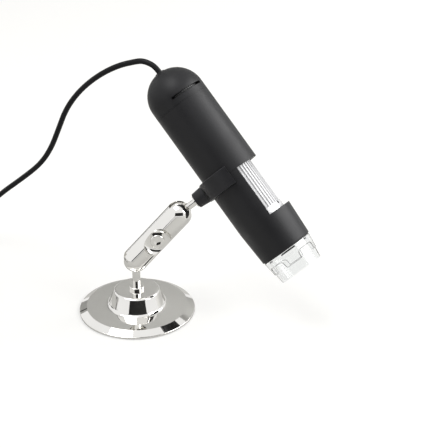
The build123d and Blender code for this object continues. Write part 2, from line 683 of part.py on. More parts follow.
def lens_carriage():
    low = CARRIAGE_TOP - CARRIAGE_LENGTH
    body = tube(CHASSIS_BORE - RUN, LENS_BARREL_RADIUS, low, CARRIAGE_TOP)
    middle = (low + CARRIAGE_TOP) / 2
    inner = (LENS_BARREL_RADIUS + CHASSIS_BORE - RUN) / 2
    long = CHASSIS_RADIUS - RUN - inner
    lug_low = middle - LUG_HEIGHT / 2
    lug = block(long, GUIDE_SLOT_WIDTH - 2 * SIDE_GAP, lug_low, lug_low + LUG_HEIGHT)
    lugs = PolarLocations(0, GUIDE_SLOTS) * (Pos(inner + long / 2, 0, 0) * lug)
    return SCOPE * (body + lugs)


def lens_barrel_low():
    """The level of the lens barrel's front end."""
    return CARRIAGE_TOP - CARRIAGE_LENGTH - LENS_BARREL_OUT


def lens_barrel():
    low = lens_barrel_low()
    bore = LENS_BARREL_RADIUS - LENS_BARREL_WALL
    return SCOPE * tube(LENS_BARREL_RADIUS, bore, low, low + LENS_BARREL_LENGTH)


def lens():
    """One lens with a domed front, its flat back on z zero."""
    radius = LENS_BARREL_RADIUS - LENS_BARREL_WALL
    curve = (radius**2 + LENS_CROWN**2) / (2 * LENS_CROWN)
    plate = disc(radius, 0, LENS_THICK)
    return plate & (Pos(0, 0, curve) * Sphere(curve))


def lens_elements():
    low = lens_barrel_low()
    pitch = LENS_BARREL_LENGTH / (LENS_COUNT + 1)
    return SCOPE * Compound([Pos(0, 0, low + LENS_THICK / 2 + i * pitch) * lens() for i in range(LENS_COUNT)])


# Electronics
def sensor_board():
    board = disc(CASE_BORE - SIDE_GAP, FLANGE_TOP, SENSOR_BOARD_TOP)
    hole = disc(SCREW_RADIUS, FLANGE_TOP - OVERRUN, SENSOR_BOARD_TOP + OVERRUN)
    return SCOPE * (board - PolarLocations(SCREW_CIRCLE, BOARD_SCREWS) * hole)


def image_sensor():
    return SCOPE * block(SENSOR_SIDE, SENSOR_SIDE, FLANGE_TOP - SENSOR_THICK, FLANGE_TOP)


def board_screws():
    head = disc(SCREW_HEAD_RADIUS, SENSOR_BOARD_TOP, SENSOR_BOARD_TOP + SCREW_HEAD_THICK)
    screw = head + disc(SCREW_RADIUS, LEDGE_TOP, SENSOR_BOARD_TOP)
    return SCOPE * Compound(PolarLocations(SCREW_CIRCLE, BOARD_SCREWS) * screw)


def main_board():
    reach = sqrt((CASE_BORE - SIDE_GAP) ** 2 - (MAIN_BOARD_OFFSET + BOARD_THICK) ** 2)
    board = block(BOARD_THICK, 2 * reach, SENSOR_BOARD_TOP, SENSOR_BOARD_TOP + MAIN_BOARD_LENGTH)
    return SCOPE * Pos(MAIN_BOARD_OFFSET, 0, 0) * board


def board_chips():
    """The controller, memory, crystal and two connectors, on the two faces of the upright board."""
    face = BOARD_THICK / 2 + CHIP_THICK / 2
    chips = []
    for side, across, up, width, height in CHIP_SHARES:
        level = SENSOR_BOARD_TOP + up * MAIN_BOARD_LENGTH
        spot = Pos(MAIN_BOARD_OFFSET + side * face, across * CASE_BORE, level)
        chips.append(spot * Box(CHIP_THICK, width * CHIP_SIDE, height * CHIP_SIDE))
    return SCOPE * Compound(chips)


def led_board():
    low = LED_BOARD_TOP - BOARD_THICK
    outer = front_radius(low, CASE_WALL) - SIDE_GAP
    return SCOPE * tube(outer, LED_BOARD_BORE, low, LED_BOARD_TOP)


def leds():
    top = LED_BOARD_TOP - BOARD_THICK
    bend = top - LED_HEIGHT + LED_RADIUS
    led = disc(LED_RADIUS, bend, top) + Pos(0, 0, bend) * Sphere(LED_RADIUS)
    return SCOPE * Compound(PolarLocations(LED_CIRCLE, LED_COUNT) * led)


# Nozzle
def nozzle_seal():
    return SCOPE * tube(NOZZLE_TOP_RADIUS - SIDE_GAP, SPIGOT_RADIUS + RUN, END_LEVEL - SEAL_THICK, END_LEVEL)


def nozzle_outer_radius(level):
    """The nozzle's outside radius at a level between its shoulder and its tip."""
    shoulder = END_LEVEL - SEAL_THICK
    share = (shoulder - level) / (NOZZLE_LENGTH - SEAL_THICK)
    return NOZZLE_TOP_RADIUS - (NOZZLE_TOP_RADIUS - NOZZLE_TIP_RADIUS) * share


def clear_nozzle():
    shoulder = END_LEVEL - SEAL_THICK
    tip = END_LEVEL - NOZZLE_LENGTH
    skin_end = END_LEVEL - SKIN_END
    neck_bore = SPIGOT_RADIUS - NOZZLE_WALL
    neck_top = END_LEVEL + SPIGOT_LENGTH
    outline = [
        (neck_bore, neck_top),
        (SPIGOT_RADIUS, neck_top),
        (SPIGOT_RADIUS, shoulder),
        (NOZZLE_TOP_RADIUS, shoulder),
        (nozzle_outer_radius(skin_end), skin_end),
        (nozzle_outer_radius(skin_end) - SKIN_STEP, skin_end),
        (NOZZLE_TIP_RADIUS - SKIN_STEP, tip),
        (NOZZLE_TIP_RADIUS - SKIN_STEP - NOZZLE_WALL, tip),
        (neck_bore, shoulder),
    ]
    nozzle = turned(outline)
    core = turned(
        [
            (0, shoulder + OVERRUN),
            (NOZZLE_TOP_RADIUS - SKIN_STEP, shoulder + OVERRUN),
            (NOZZLE_TOP_RADIUS - SKIN_STEP, shoulder),
            (NOZZLE_TIP_RADIUS - SKIN_STEP, tip),
            (0, tip),
        ]
    )
    half = NOZZLE_TOP_RADIUS * tan(radians(ARCH_HALF_ANGLE))
    arch = Pos(0, skin_end + ARCH_HEIGHT / 2 - OVERRUN / 2) * Rectangle(2 * half, ARCH_HEIGHT + OVERRUN)
    arch = fillet(arch.vertices().sort_by(Axis.Y)[-2:], ARCH_CORNER)
    cutter = Rot(0, 0, 90) * extrude(Plane.XZ * arch, -2 * NOZZLE_TOP_RADIUS) - core
    return SCOPE * (nozzle - PolarLocations(0, ARCHES, ARCH_TURN) * cutter)


# Cord
def cord_grommet():
    low = APEX_LEVEL - CASE_WALL - GROMMET_FLANGE_THICK
    body = disc(GROMMET_RADIUS - RUN, low, APEX_LEVEL + GROMMET_PROUD)
    inside = Pos(0, 0, SEAM_LEVEL + CAP_SIDE) * Sphere(CASE_BORE - RUN)
    flange = disc(GROMMET_FLANGE_RADIUS, low, APEX_LEVEL) & inside
    bore = disc(CORD_RADIUS + RUN / 2, low - OVERRUN, APEX_LEVEL + OVERRUN)
    return SCOPE * (body + flange - bore)


def inner_cord():
    low = WHEEL_LEVEL + WHEEL_THICK + INNER_CORD_HEADROOM
    return SCOPE * disc(CORD_RADIUS, low, APEX_LEVEL + GROMMET_PROUD)


def coil_outer_radius():
    """The cord's centre radius in the outermost turn of the put-away coil."""
    return COIL_RADIUS + HALF_TURNS_PER_LAYER * TURN_PITCH / 4


def coil_floor():
    """The height of the cord's centre in the coil's lowest layer, on the tie's band."""
    return TIE_THICK + SIDE_GAP + CORD_RADIUS


def coil_half_turns():
    """Where each half turn of the coil starts and ends: a list of side, radius and layer height."""
    places = [(coil_outer_radius(), coil_floor())]
    for layer in range(COIL_LAYERS):
        if layer:
            places.append((places[-1][0], coil_floor() + layer * TURN_PITCH))
        step = -TURN_PITCH / 2 if layer % 2 == 0 else TURN_PITCH / 2
        last = layer == COIL_LAYERS - 1
        for _ in range(HALF_TURNS_PER_LAYER - last):
            places.append((places[-1][0] + step, places[-1][1]))
    spots = []
    for i, (radius, height) in enumerate(places):
        side = 1 if i % 2 == 0 else -1
        spots.append((Vector(COIL_X + side * radius, COIL_Y, height), Vector(0, -side, 0)))
    return spots


def coil_wire():
    """The coil's centre line: a straight end, half turns, quarter arcs where it climbs, a straight end."""
    spots = coil_half_turns()
    lead = 2 * CORD_RADIUS
    start = spots[0][0] - spots[0][1] * lead
    edges = [Line(start, spots[0][0])]
    for (a, way), (b, _) in zip(spots, spots[1:]):
        if abs(a.Z - b.Z) < RUN:
            edges.append(ThreePointArc(a, (a + b) * 0.5 + way * ((b - a).length / 2), b))
        else:
            reach = (b - a).length / 2
            middle = (a + b) * 0.5 + way * reach
            edges.append(TangentArc(a, middle, tangent=way))
            edges.append(TangentArc(middle, b, tangent=edges[-1] % 1))
    end = spots[-1][0] + spots[-1][1] * lead
    edges.append(Line(spots[-1][0], end))
    return Wire([e.edge() for e in edges]), start, end


def swept_tube(path):
    """A round cord along a path."""
    return sweep(Plane(origin=path @ 0, z_dir=path % 0) * Circle(CORD_RADIUS), path=path)


def print_volume(label, cord, path):
    share = cord.volume / (pi * CORD_RADIUS**2 * path.length)
    print(label, "volume over section times length", round(share, 4))


def routed(points, label):
    """A cord of straight runs joined by arcs as large as the runs allow. Prints its radii and volume."""
    points = [Vector(*p) for p in points]
    radii = []
    for a, b, c in zip(points, points[1:], points[2:]):
        turn = radians((b - a).get_angle(c - b))
        radii.append(BEND_SHARE * min((b - a).length, (c - b).length) / tan(turn / 2))
    path = FilletPolyline(*points, radius=radii)
    cord = swept_tube(path)
    print(label, "radii", [round(r, 1) for r in radii], "length", round(path.length, 1))
    print_volume(label, cord, path)
    return cord


def usb_cord(coil_start):
    first = CORD_EXIT + BARREL_UP * EXIT_RUN
    return routed([tuple(CORD_EXIT), tuple(first), *ROUTE, tuple(coil_start)], "stretch")


def cord_tail(coil_end):
    """The end of the cord, from the coil's top layer down to the plug on the floor."""
    x, y, z = coil_end
    floor = PLUG_HEIGHT / 2
    points = [
        (x, y, z),
        (x, y - TAIL_RUN, z),
        (x, y - TAIL_RUN - TAIL_DROP_RUN, z - TAIL_FIRST_DROP),
        (x, y - TAIL_RUN - 2 * TAIL_DROP_RUN, floor),
        (x, y - 2 * TAIL_RUN - 2 * TAIL_DROP_RUN, floor),
    ]
    return routed(points, "tail")


def plug_start(coil_end):
    """The point where the cord enters the plug's strain relief."""
    return Vector(coil_end.X, coil_end.Y - 2 * TAIL_RUN - 2 * TAIL_DROP_RUN, PLUG_HEIGHT / 2)


def least_gap(path):
    """The least clear distance between two stretches of the coil that aren't neighbours along it."""
    count = GAP_SAMPLES_PER_ARC * len(path.edges())
    spots = [path @ (i / count) for i in range(count + 1)]
    step = path.length / count
    skip = int(pi * CORD_RADIUS * 2 / step) + 1
    least = path.length
    for i, a in enumerate(spots):
        for b in spots[i + skip :]:
            least = min(least, (a - b).length)
    return least - 2 * CORD_RADIUS


def usb_cord_coil(path):
    coil = swept_tube(path)
    print("coil length", round(path.length, 1), "least gap to itself", round(least_gap(path), 3))
    print_volume("coil", coil, path)
    return coil


def cord_tie():
    """A band round all the turns at the coil's far side."""
    inner = coil_outer_radius() - HALF_TURNS_PER_LAYER * TURN_PITCH / 2 - CORD_RADIUS - SIDE_GAP
    outer = coil_outer_radius() + CORD_RADIUS + SIDE_GAP
    top = coil_floor() + (COIL_LAYERS - 1) * TURN_PITCH + CORD_RADIUS + SIDE_GAP
    low = TIE_THICK
    band = offset(RectangleRounded(outer - inner, top - low, TIE_CORNER), TIE_THICK)
    band -= RectangleRounded(outer - inner, top - low, TIE_CORNER)
    place = Pos(COIL_X - (inner + outer) / 2, COIL_Y + TIE_WIDTH / 2, (top + low) / 2)
    return place * Rot(90, 0, 0) * extrude(band, TIE_WIDTH)


# Plug, drawn with its nose along +z and then laid along the floor
def plug_place(coil_end, solid):
    frame = Plane(origin=plug_start(coil_end), x_dir=(1, 0, 0), z_dir=(0, -1, 0))
    return frame * solid


def plug_relief(coil_end):
    relief = cone(CORD_RADIUS + RELIEF_GROOVE, RELIEF_RADIUS, RELIEF_LENGTH)
    pitch = RELIEF_LENGTH / (RELIEF_RIBS + 1)
    for i in range(RELIEF_RIBS):
        low = (i + 1) * pitch - RELIEF_GROOVE / 2
        relief -= tube(2 * RELIEF_RADIUS, CORD_RADIUS + RELIEF_GROOVE / 2, low, low + RELIEF_GROOVE)
    return plug_place(coil_end, relief)


def plug_body(coil_end):
    body = block(PLUG_WIDTH, PLUG_HEIGHT, RELIEF_LENGTH, RELIEF_LENGTH + PLUG_LENGTH)
    body = fillet(body.edges().filter_by(Axis.Z), PLUG_EDGE)
    body = fillet(body.faces().sort_by(Axis.Z)[0].edges(), PLUG_EDGE / 2)
    return plug_place(coil_end, body)


def plug_shell(coil_end):
    low = RELIEF_LENGTH + PLUG_LENGTH
    high = low + METAL_LENGTH
    shell = block(METAL_WIDTH, METAL_HEIGHT, low, high)
    shell -= block(METAL_WIDTH - 2 * METAL_WALL, METAL_HEIGHT - 2 * METAL_WALL, low - OVERRUN, high + OVERRUN)
    return plug_place(coil_end, shell)


def tongue_offset():
    """How far the tongue's middle stands from the plug's middle plane."""
    return METAL_HEIGHT / 2 - METAL_WALL - TONGUE_THICK / 2


def plug_tongue(coil_end):
    low = RELIEF_LENGTH + PLUG_LENGTH
    width = METAL_WIDTH - 2 * METAL_WALL
    tongue = block(width, TONGUE_THICK, low, low + METAL_LENGTH - METAL_WALL)
    return plug_place(coil_end, Pos(0, tongue_offset(), 0) * tongue)


def plug_contacts(coil_end):
    low = RELIEF_LENGTH + PLUG_LENGTH
    face = tongue_offset() - TONGUE_THICK / 2 - CONTACT_THICK / 2
    strips = []
    for i in range(CONTACTS):
        across = (i - (CONTACTS - 1) / 2) * CONTACT_PITCH
        strip = block(CONTACT_WIDTH, CONTACT_THICK, low + CONTACT_WIDTH, low + METAL_LENGTH - CONTACT_WIDTH)
        strips.append(Pos(across, face, 0) * strip)
    return plug_place(coil_end, Compound(strips))


# Every piece by name
def pieces():
    path, coil_start, coil_end = coil_wire()
    return {
        "foot_cover": foot_cover(),
        "foot_weight": foot_weight(),
        "foot_pad": foot_pad(),
        "foot_washer": foot_washer(),
        "lower_ball_stud": lower_stud(),
        "stud_nut": stud_nut(),
        "arm_shell_front": arm_shell(1),
        "arm_shell_rear": arm_shell(-1),
        "clamp_bolt": clamp_bolt(),
        "clamp_knob": clamp_knob(),
        "upper_ball_stud": upper_stud(),
        "holder_clip": holder_clip(),
        "clip_insert": clip_insert(),
        "top_cap": top_cap(),
        "upper_barrel": upper_barrel(),
        "lower_barrel": lower_barrel(),
        "light_board": light_board(),
        "dimmer_control": dimmer_control(),
        "dimmer_wheel": dimmer_wheel(),
        "focus_roller": focus_roller(),
        "roller_ring": roller_ring(),
        "grub_screw": grub_screw(),
        "chassis": chassis(),
        "lens_carriage": lens_carriage(),
        "lens_barrel": lens_barrel(),
        "lens_elements": lens_elements(),
        "sensor_board": sensor_board(),
        "image_sensor": image_sensor(),
        "board_screws": board_screws(),
        "main_board": main_board(),
        "board_chips": board_chips(),
        "led_board": led_board(),
        "leds": leds(),
        "nozzle_seal": nozzle_seal(),
        "clear_nozzle": clear_nozzle(),
        "cord_grommet": cord_grommet(),
        "inner_cord": inner_cord(),
        "usb_cord": usb_cord(coil_start),
        "usb_cord_coil": usb_cord_coil(path),
        "usb_cord_tail": cord_tail(coil_end),
        "cord_tie": cord_tie(),
        "plug_relief": plug_relief(coil_end),
        "plug_body": plug_body(coil_end),
        "plug_shell": plug_shell(coil_end),
        "plug_tongue": plug_tongue(coil_end),
        "plug_contacts": plug_contacts(coil_end),
    }


os.makedirs("parts", exist_ok=True)
for name, solid in pieces().items():
    export_step(solid, f"parts/{name}.step")
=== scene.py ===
"""A hand-held USB microscope on a chrome ball-joint stand: finishes, fine pieces, cord and studio."""

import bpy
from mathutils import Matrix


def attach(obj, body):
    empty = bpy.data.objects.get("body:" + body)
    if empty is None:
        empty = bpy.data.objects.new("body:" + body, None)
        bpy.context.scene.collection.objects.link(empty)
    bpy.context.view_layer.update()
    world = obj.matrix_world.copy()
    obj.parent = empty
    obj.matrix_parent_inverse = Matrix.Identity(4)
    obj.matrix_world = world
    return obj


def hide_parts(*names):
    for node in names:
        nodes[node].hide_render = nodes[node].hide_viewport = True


bl_info = {
    "name": "Desk Microscope Dresser",
    "version": (1, 0, 0),
    "blender": (4, 5, 0),
    "location": "3D View > Sidebar > Microscope",
    "description": "Finishes a USB microscope and its chrome stand, lays its cord and sets a plain studio",
    "category": "Object",
}

import functools
import math

import bpy
import numpy as np
from bpy.props import FloatProperty, FloatVectorProperty, IntProperty, PointerProperty
from bpy.types import Operator, Panel, PropertyGroup
from mathutils import Matrix, Vector

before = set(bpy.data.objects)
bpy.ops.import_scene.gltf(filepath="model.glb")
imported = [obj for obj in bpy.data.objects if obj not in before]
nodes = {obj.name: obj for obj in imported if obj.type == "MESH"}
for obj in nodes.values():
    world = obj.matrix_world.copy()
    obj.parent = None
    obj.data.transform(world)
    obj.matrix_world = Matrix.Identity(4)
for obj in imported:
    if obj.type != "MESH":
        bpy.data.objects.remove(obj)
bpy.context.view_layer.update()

MM = 0.001

# The stand's and the microscope's own frames, from the angles and the lengths in millimetres of the part's source
ARM_LEAN = math.radians(41.6)
ROD_LEAN = math.radians(52.0)
SWIVEL = math.radians(25.6)
ARM_SPAN = 38.1
ROD_REACH = 39.0
CAP_TOP = 70.7
LOWER_BALL = np.array([0.0, 0.0, 33.7]) * MM
ARM_WAY = np.array([math.sin(ARM_LEAN), 0.0, math.cos(ARM_LEAN)])
UPPER_BALL = LOWER_BALL + ARM_WAY * ARM_SPAN * MM
ROD_WAY = np.array([math.sin(ROD_LEAN), 0.0, math.cos(ROD_LEAN)])
ROD_DOWN = np.array([math.cos(ROD_LEAN), 0.0, -math.sin(ROD_LEAN)])
CLIP_CENTRE = UPPER_BALL + ROD_WAY * ROD_REACH * MM
BARREL_UP = np.array([0.0, 1.0, 0.0]) * math.sin(SWIVEL) - ROD_DOWN * math.cos(SWIVEL)
BARREL_SIDE = np.cross(BARREL_UP, ROD_WAY)
CORD_EXIT = CLIP_CENTRE + BARREL_UP * CAP_TOP * MM

# The nozzle's cone: its shoulder in millimetres, how fast it widens on the way up, and the radius in metres that its
# skin would have at the clip's level
SHOULDER_RADIUS = 15.2
SHOULDER_DROP = 51.9
NOZZLE_TAPER = 1.75 / 14.3
NOZZLE_SKIN = (SHOULDER_RADIUS + SHOULDER_DROP * NOZZLE_TAPER) * MM

# The nozzle's collar: its rim's level, and the arches that are cut up into it
COLLAR_RIM = -60.2 * MM
ARCH_TOP = -55.8 * MM
ARCH_HALF = 5.83 * MM
ARCH_TURN = math.radians(52.0)
COLLAR_ARCHES = 4
COLLAR_BLEND = 0.0015

# The grain's broad noise against its fine one, and where a clear wall starts to be seen along its skin and takes a
# painted darker shade
BROAD_GRAIN = 0.22
GRAZING_FROM = 0.78

# Places inside the microscope, in millimetres in its own frame
LAMPS = 8
LAMP_CIRCLE = 10.85
LAMP_LEVEL = -47.2
BOARD_FACE = 2.96

# The studio, in metres: where its cards face, and where the photo was taken from
STAND_MIDDLE = (0.0, 0.0, 0.06)
FLOOR_REACH = 3.0
CAMERA_PLACE = (-0.0009, -0.6192, 0.375)

# The cord's route, in metres, with its first two points on the barrel's axis
ROUTE = [
    (0.0102, 0.0348, 0.1411),
    (0.0072, 0.0365, 0.1414),
    (0.0040, 0.0385, 0.1406),
    (-0.0069, 0.0443, 0.1362),
    (-0.0186, 0.0490, 0.1286),
    (-0.0296, 0.0535, 0.1181),
    (-0.0382, 0.0580, 0.1052),
    (-0.0436, 0.0620, 0.0908),
    (-0.0490, 0.0660, 0.0766),
    (-0.0564, 0.0700, 0.0644),
    (-0.0686, 0.0755, 0.0526),
    (-0.0830, 0.0820, 0.0398),
    (-0.0970, 0.0895, 0.0245),
    (-0.1090, 0.0970, 0.0105),
    (-0.1200, 0.1015, 0.0026),
    (-0.1315, 0.0990, 0.00165),
    (-0.1384, 0.0875, 0.00165),
    (-0.1384, 0.0725, 0.0026),
]
COIL_CENTRE = (-0.1625, 0.0570)
COIL_OUTER = 0.0241
COIL_PITCH = 0.0043
COIL_FLOOR = 0.0026
COIL_LAYERS = 4
HALF_TURNS = 4
POINTS_PER_HALF_TURN = 8
TAIL = [(0.0033, 0.0), (0.0173, 0.0), (0.0333, -0.004), (0.0493, None), (0.0633, None)]
PLUG_AXIS_HEIGHT = 0.0039


# Grids and meshes
def scope_points(points):
    """Points given in the microscope's own frame, in millimetres, carried to their place in metres."""
    axes = np.stack([ROD_WAY, BARREL_SIDE, BARREL_UP])
    return CLIP_CENTRE + (np.asarray(points) * MM) @ axes


def grid_faces(rows, columns, closed):
    """The quads of a grid of points whose columns wrap round, and whose rows do too where it is closed."""
    a, b = np.meshgrid(np.arange(rows if closed else rows - 1), np.arange(columns), indexing="ij")
    a2 = (a + 1) % rows
    b2 = (b + 1) % columns
    return np.stack([a * columns + b, a * columns + b2, a2 * columns + b2, a2 * columns + b], -1).reshape(-1, 4)


def tube_faces(rows, columns):
    """The quads of a grid whose first and last rows are each closed by one face."""
    first = np.arange(columns)
    ends = [first[::-1].tolist(), (first + (rows - 1) * columns).tolist()]
    return grid_faces(rows, columns, False).tolist() + ends


def place_object(name, data):
    """A new object of that data, linked into the scene."""
    made = bpy.data.objects.new(name, data)
    bpy.context.scene.collection.objects.link(made)
    return made


def add_piece(name, points, faces, material, body, smooth=True):
    """Makes a mesh piece of points and faces, gives it its finish, and lets it ride a body."""
    mesh = bpy.data.meshes.new(name)
    mesh.from_pydata(np.asarray(points).tolist(), [], [list(map(int, f)) for f in faces])
    mesh.validate()
    mesh.polygons.foreach_set("use_smooth", np.full(len(mesh.polygons), smooth))
    mesh.materials.append(material)
    piece = place_object(name, mesh)
    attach(piece, body)
    return piece


def turned_points(profile, t):
    """The profile's radius and height at each angle t about z: x = r cos t, y = r sin t, z = h."""
    r, h = np.asarray(profile, float).T
    t = t[:, None]
    return np.stack([r * np.cos(t), r * np.sin(t), np.broadcast_to(h, (len(t), len(h)))], -1).reshape(-1, 3)


def turned_ring(profile, steps):
    """A closed profile turned all the way about z into a closed ring of quads."""
    points = turned_points(profile, np.linspace(0, 2 * np.pi, steps, endpoint=False))
    return points, grid_faces(steps, len(profile), True)


def turned_arc(profile, half_angle, steps):
    """A closed profile turned about z, t from minus to plus the half angle, with its two ends closed."""
    points = turned_points(profile, np.linspace(-half_angle, half_angle, steps))
    return points, tube_faces(steps, len(profile))


def rounded_box(size, edge):
    """A box with its upright edges and top cut back: eight corner points of the plan at three heights.

    The plan's second four points are its first four turned half round, and its top ring is shrunk by the edge.
    """
    w, d, h = np.asarray(size) / 2
    half = np.array([(w - edge, -d), (w, -d + edge), (w, d - edge), (w - edge, d)])
    plan = np.concatenate([half, -half])
    shrink = 1 - edge / min(w, d)
    rings = [(-h, 1.0), (h - edge, 1.0), (h, shrink)]
    points = np.concatenate([np.column_stack([plan * s, np.full(len(plan), z)]) for z, s in rings])
    return points, tube_faces(len(rings), len(plan))


def turned_places(t, radius=0.0, level=0.0):
    """Places at the angles t about z: x = R cos t, y = R sin t, z = level, each with its first axis outwards."""
    c, s, zero = np.cos(t), np.sin(t), np.zeros(len(t))
    rows = [(c, s, zero), (-s, c, zero), (zero, zero, zero + 1), (radius * c, radius * s, zero + level)]
    return np.moveaxis(np.array(rows), 2, 0)


def repeated(points, faces, places):
    """One shape's points copied to each place, a 4 by 3 array of axes and origin."""
    points = np.asarray(points)
    moved = np.einsum("ni,kij->knj", points, places[:, :3]) + places[:, None, 3]
    all_faces = [[v + k * len(points) for v in f] for k in range(len(places)) for f in faces]
    return moved.reshape(-1, 3), all_faces


# Shader nodes
SOCKET_KINDS = {"VALUE": "NodeSocketFloat", "VECTOR": "NodeSocketVector", "RGBA": "NodeSocketColor"}


def add(tree, kind, inputs, **settings):
    """Adds a node and gives its first live output. Its inputs, by name or in order, are linked or set."""
    node = tree.nodes.new("ShaderNode" + kind)
    for name, value in settings.items():
        setattr(node, name, value)
    for name, value in inputs.items() if isinstance(inputs, dict) else enumerate(inputs):
        if isinstance(value, bpy.types.NodeSocket):
            tree.links.new(value, node.inputs[name])
        else:
            node.inputs[name].default_value = value
    return next(output for output in node.outputs if output.enabled)


def number(tree, operation, *inputs):
    """Arithmetic on numbers."""
    return add(tree, "Math", inputs, operation=operation)


def vector(tree, operation, *inputs):
    """Arithmetic on vectors, which gives a vector, or a number for a length or a dot product."""
    return add(tree, "VectorMath", inputs, operation=operation)


def mixed(tree, factor, first, second):
    """The first colour where the factor is 0, and the second where it is 1."""
    return add(tree, "Mix", {"Factor": factor, "A": first, "B": second}, data_type="RGBA")


def share_of(tree, value, low, high, **settings):
    """How far a value is from low to high, from 0 to 1."""
    return add(tree, "MapRange", {"Value": value, "From Min": low, "From Max": high}, **settings)


def between(tree, share, low, high):
    """The value that is a share of the way from low to high."""
    return add(tree, "MapRange", {"Value": share, "To Min": low, "To Max": high})


def new_group(name, **inputs):
    """An empty shader group and its inputs: a number, a colour of four parts, or a vector, which may be None."""
    group = bpy.data.node_groups.new(name, "ShaderNodeTree")
    for label, value in inputs.items():
        if isinstance(value, float):
            kind = "VALUE"
        else:
            kind = "RGBA" if value and len(value) == 4 else "VECTOR"
        socket = group.interface.new_socket(
            name=label.replace("_", " "), in_out="INPUT", socket_type=SOCKET_KINDS[kind],
        )
        if value is not None:
            socket.default_value = value
    return group, group.nodes.new("NodeGroupInput").outputs


def close_group(group, **outputs):
    """Gives a group its outputs, each fed by the socket given for it."""
    for label, socket in outputs.items():
        group.interface.new_socket(name=label, in_out="OUTPUT", socket_type=SOCKET_KINDS[socket.type])
    result = group.nodes.new("NodeGroupOutput")
    for label, socket in outputs.items():
        group.links.new(socket, result.inputs[label])
    return group


# Shared shading groups, each built the first time that it is wanted
@functools.cache
def grain_group():
    """A moulded or cast skin: two sizes of noise added and raised as a bump."""
    group, given = new_group("Moulded grain", Vector=None, Scale=3000.0, Depth=0.00002)
    fine = add(group, "TexNoise", {"Vector": given["Vector"], "Scale": given["Scale"], "Detail": 3.0})
    broad_scale = number(group, "MULTIPLY", given["Scale"], BROAD_GRAIN)
    broad = add(group, "TexNoise", {"Vector": given["Vector"], "Scale": broad_scale, "Detail": 1.0})
    total = number(group, "ADD", fine, broad)
    bump = add(group, "Bump", {"Height": total, "Distance": given["Depth"]})
    return close_group(group, Normal=bump)


@functools.cache
def handling_group():
    """Handling marks: soft patches of noise that raise and lower the roughness between two values."""
    group, given = new_group("Handling marks", Vector=None, Scale=90.0, Low=0.3, High=0.45)
    patches = add(group, "TexNoise", {
        "Vector": given["Vector"], "Scale": given["Scale"], "Detail": 5.0, "Roughness": 0.65, "Distortion": 0.4,
    })
    worn = share_of(group, patches, 0.38, 0.66)
    return close_group(group, Roughness=between(group, worn, given["Low"], given["High"]))


@functools.cache
def tint_group():
    """Uneven colour: a base colour moved part of the way to a second one by noise."""
    group, given = new_group(
        "Uneven tint", Vector=None, Base=(0.5, 0.5, 0.5, 1), Second=(0.6, 0.6, 0.6, 1), Scale=60.0,
    )
    clouds = add(group, "TexNoise", {"Vector": given["Vector"], "Scale": given["Scale"], "Detail": 4.0})
    share = share_of(group, clouds, 0.35, 0.65)
    return close_group(group, Color=mixed(group, share, given["Base"], given["Second"]))


@functools.cache
def brushed_group():
    """Machining lines: noise stretched along one axis by scaling the coordinates, raised as a bump."""
    group, given = new_group(
        "Machining lines", Vector=None, Stretch=(60.0, 60.0, 3500.0), Depth=0.000004, Low=0.25, High=0.4,
    )
    scaled = vector(group, "MULTIPLY", given["Vector"], given["Stretch"])
    lines = add(group, "TexNoise", {"Vector": scaled, "Scale": 1.0, "Detail": 2.0})
    bump = add(group, "Bump", {"Height": lines, "Distance": given["Depth"]})
    return close_group(group, Roughness=between(group, lines, given["Low"], given["High"]), Normal=bump)


@functools.cache
def track_group():
    """Copper tracks under a solder mask: the borders of cells of noise take the track's colour and stand up."""
    group, given = new_group(
        "Board tracks", Vector=None, Mask_colour=(0.02, 0.16, 0.07, 1), Track_colour=(0.05, 0.3, 0.13, 1),
        Scale=900.0,
    )
    cells = add(group, "TexVoronoi", {"Vector": given["Vector"], "Scale": given["Scale"]}, distance="MANHATTAN")
    edges = share_of(group, cells, 0.42, 0.5)
    colour = mixed(group, edges, given["Mask colour"], given["Track colour"])
    return close_group(group, Color=colour, Height=edges)


@functools.cache
def flute_group():
    """Painted shade in the roller's flutes: dark in their floors and bright on the lands, by distance from its axis.
    """
    group, given = new_group(
        "Flute shade", Vector=None, Centre=None, Axis=None, Floor=0.01215, Land=0.01262,
        Dark=(0.1, 0.1, 0.1, 1), Bright=(0.8, 0.8, 0.8, 1),
    )
    offset = vector(group, "SUBTRACT", given["Vector"], given["Centre"])
    distance = vector(group, "LENGTH", vector(group, "CROSS_PRODUCT", offset, given["Axis"]))
    land = share_of(group, distance, given["Floor"], given["Land"], interpolation_type="SMOOTHSTEP")
    return close_group(group, Color=mixed(group, land, given["Dark"], given["Bright"]))


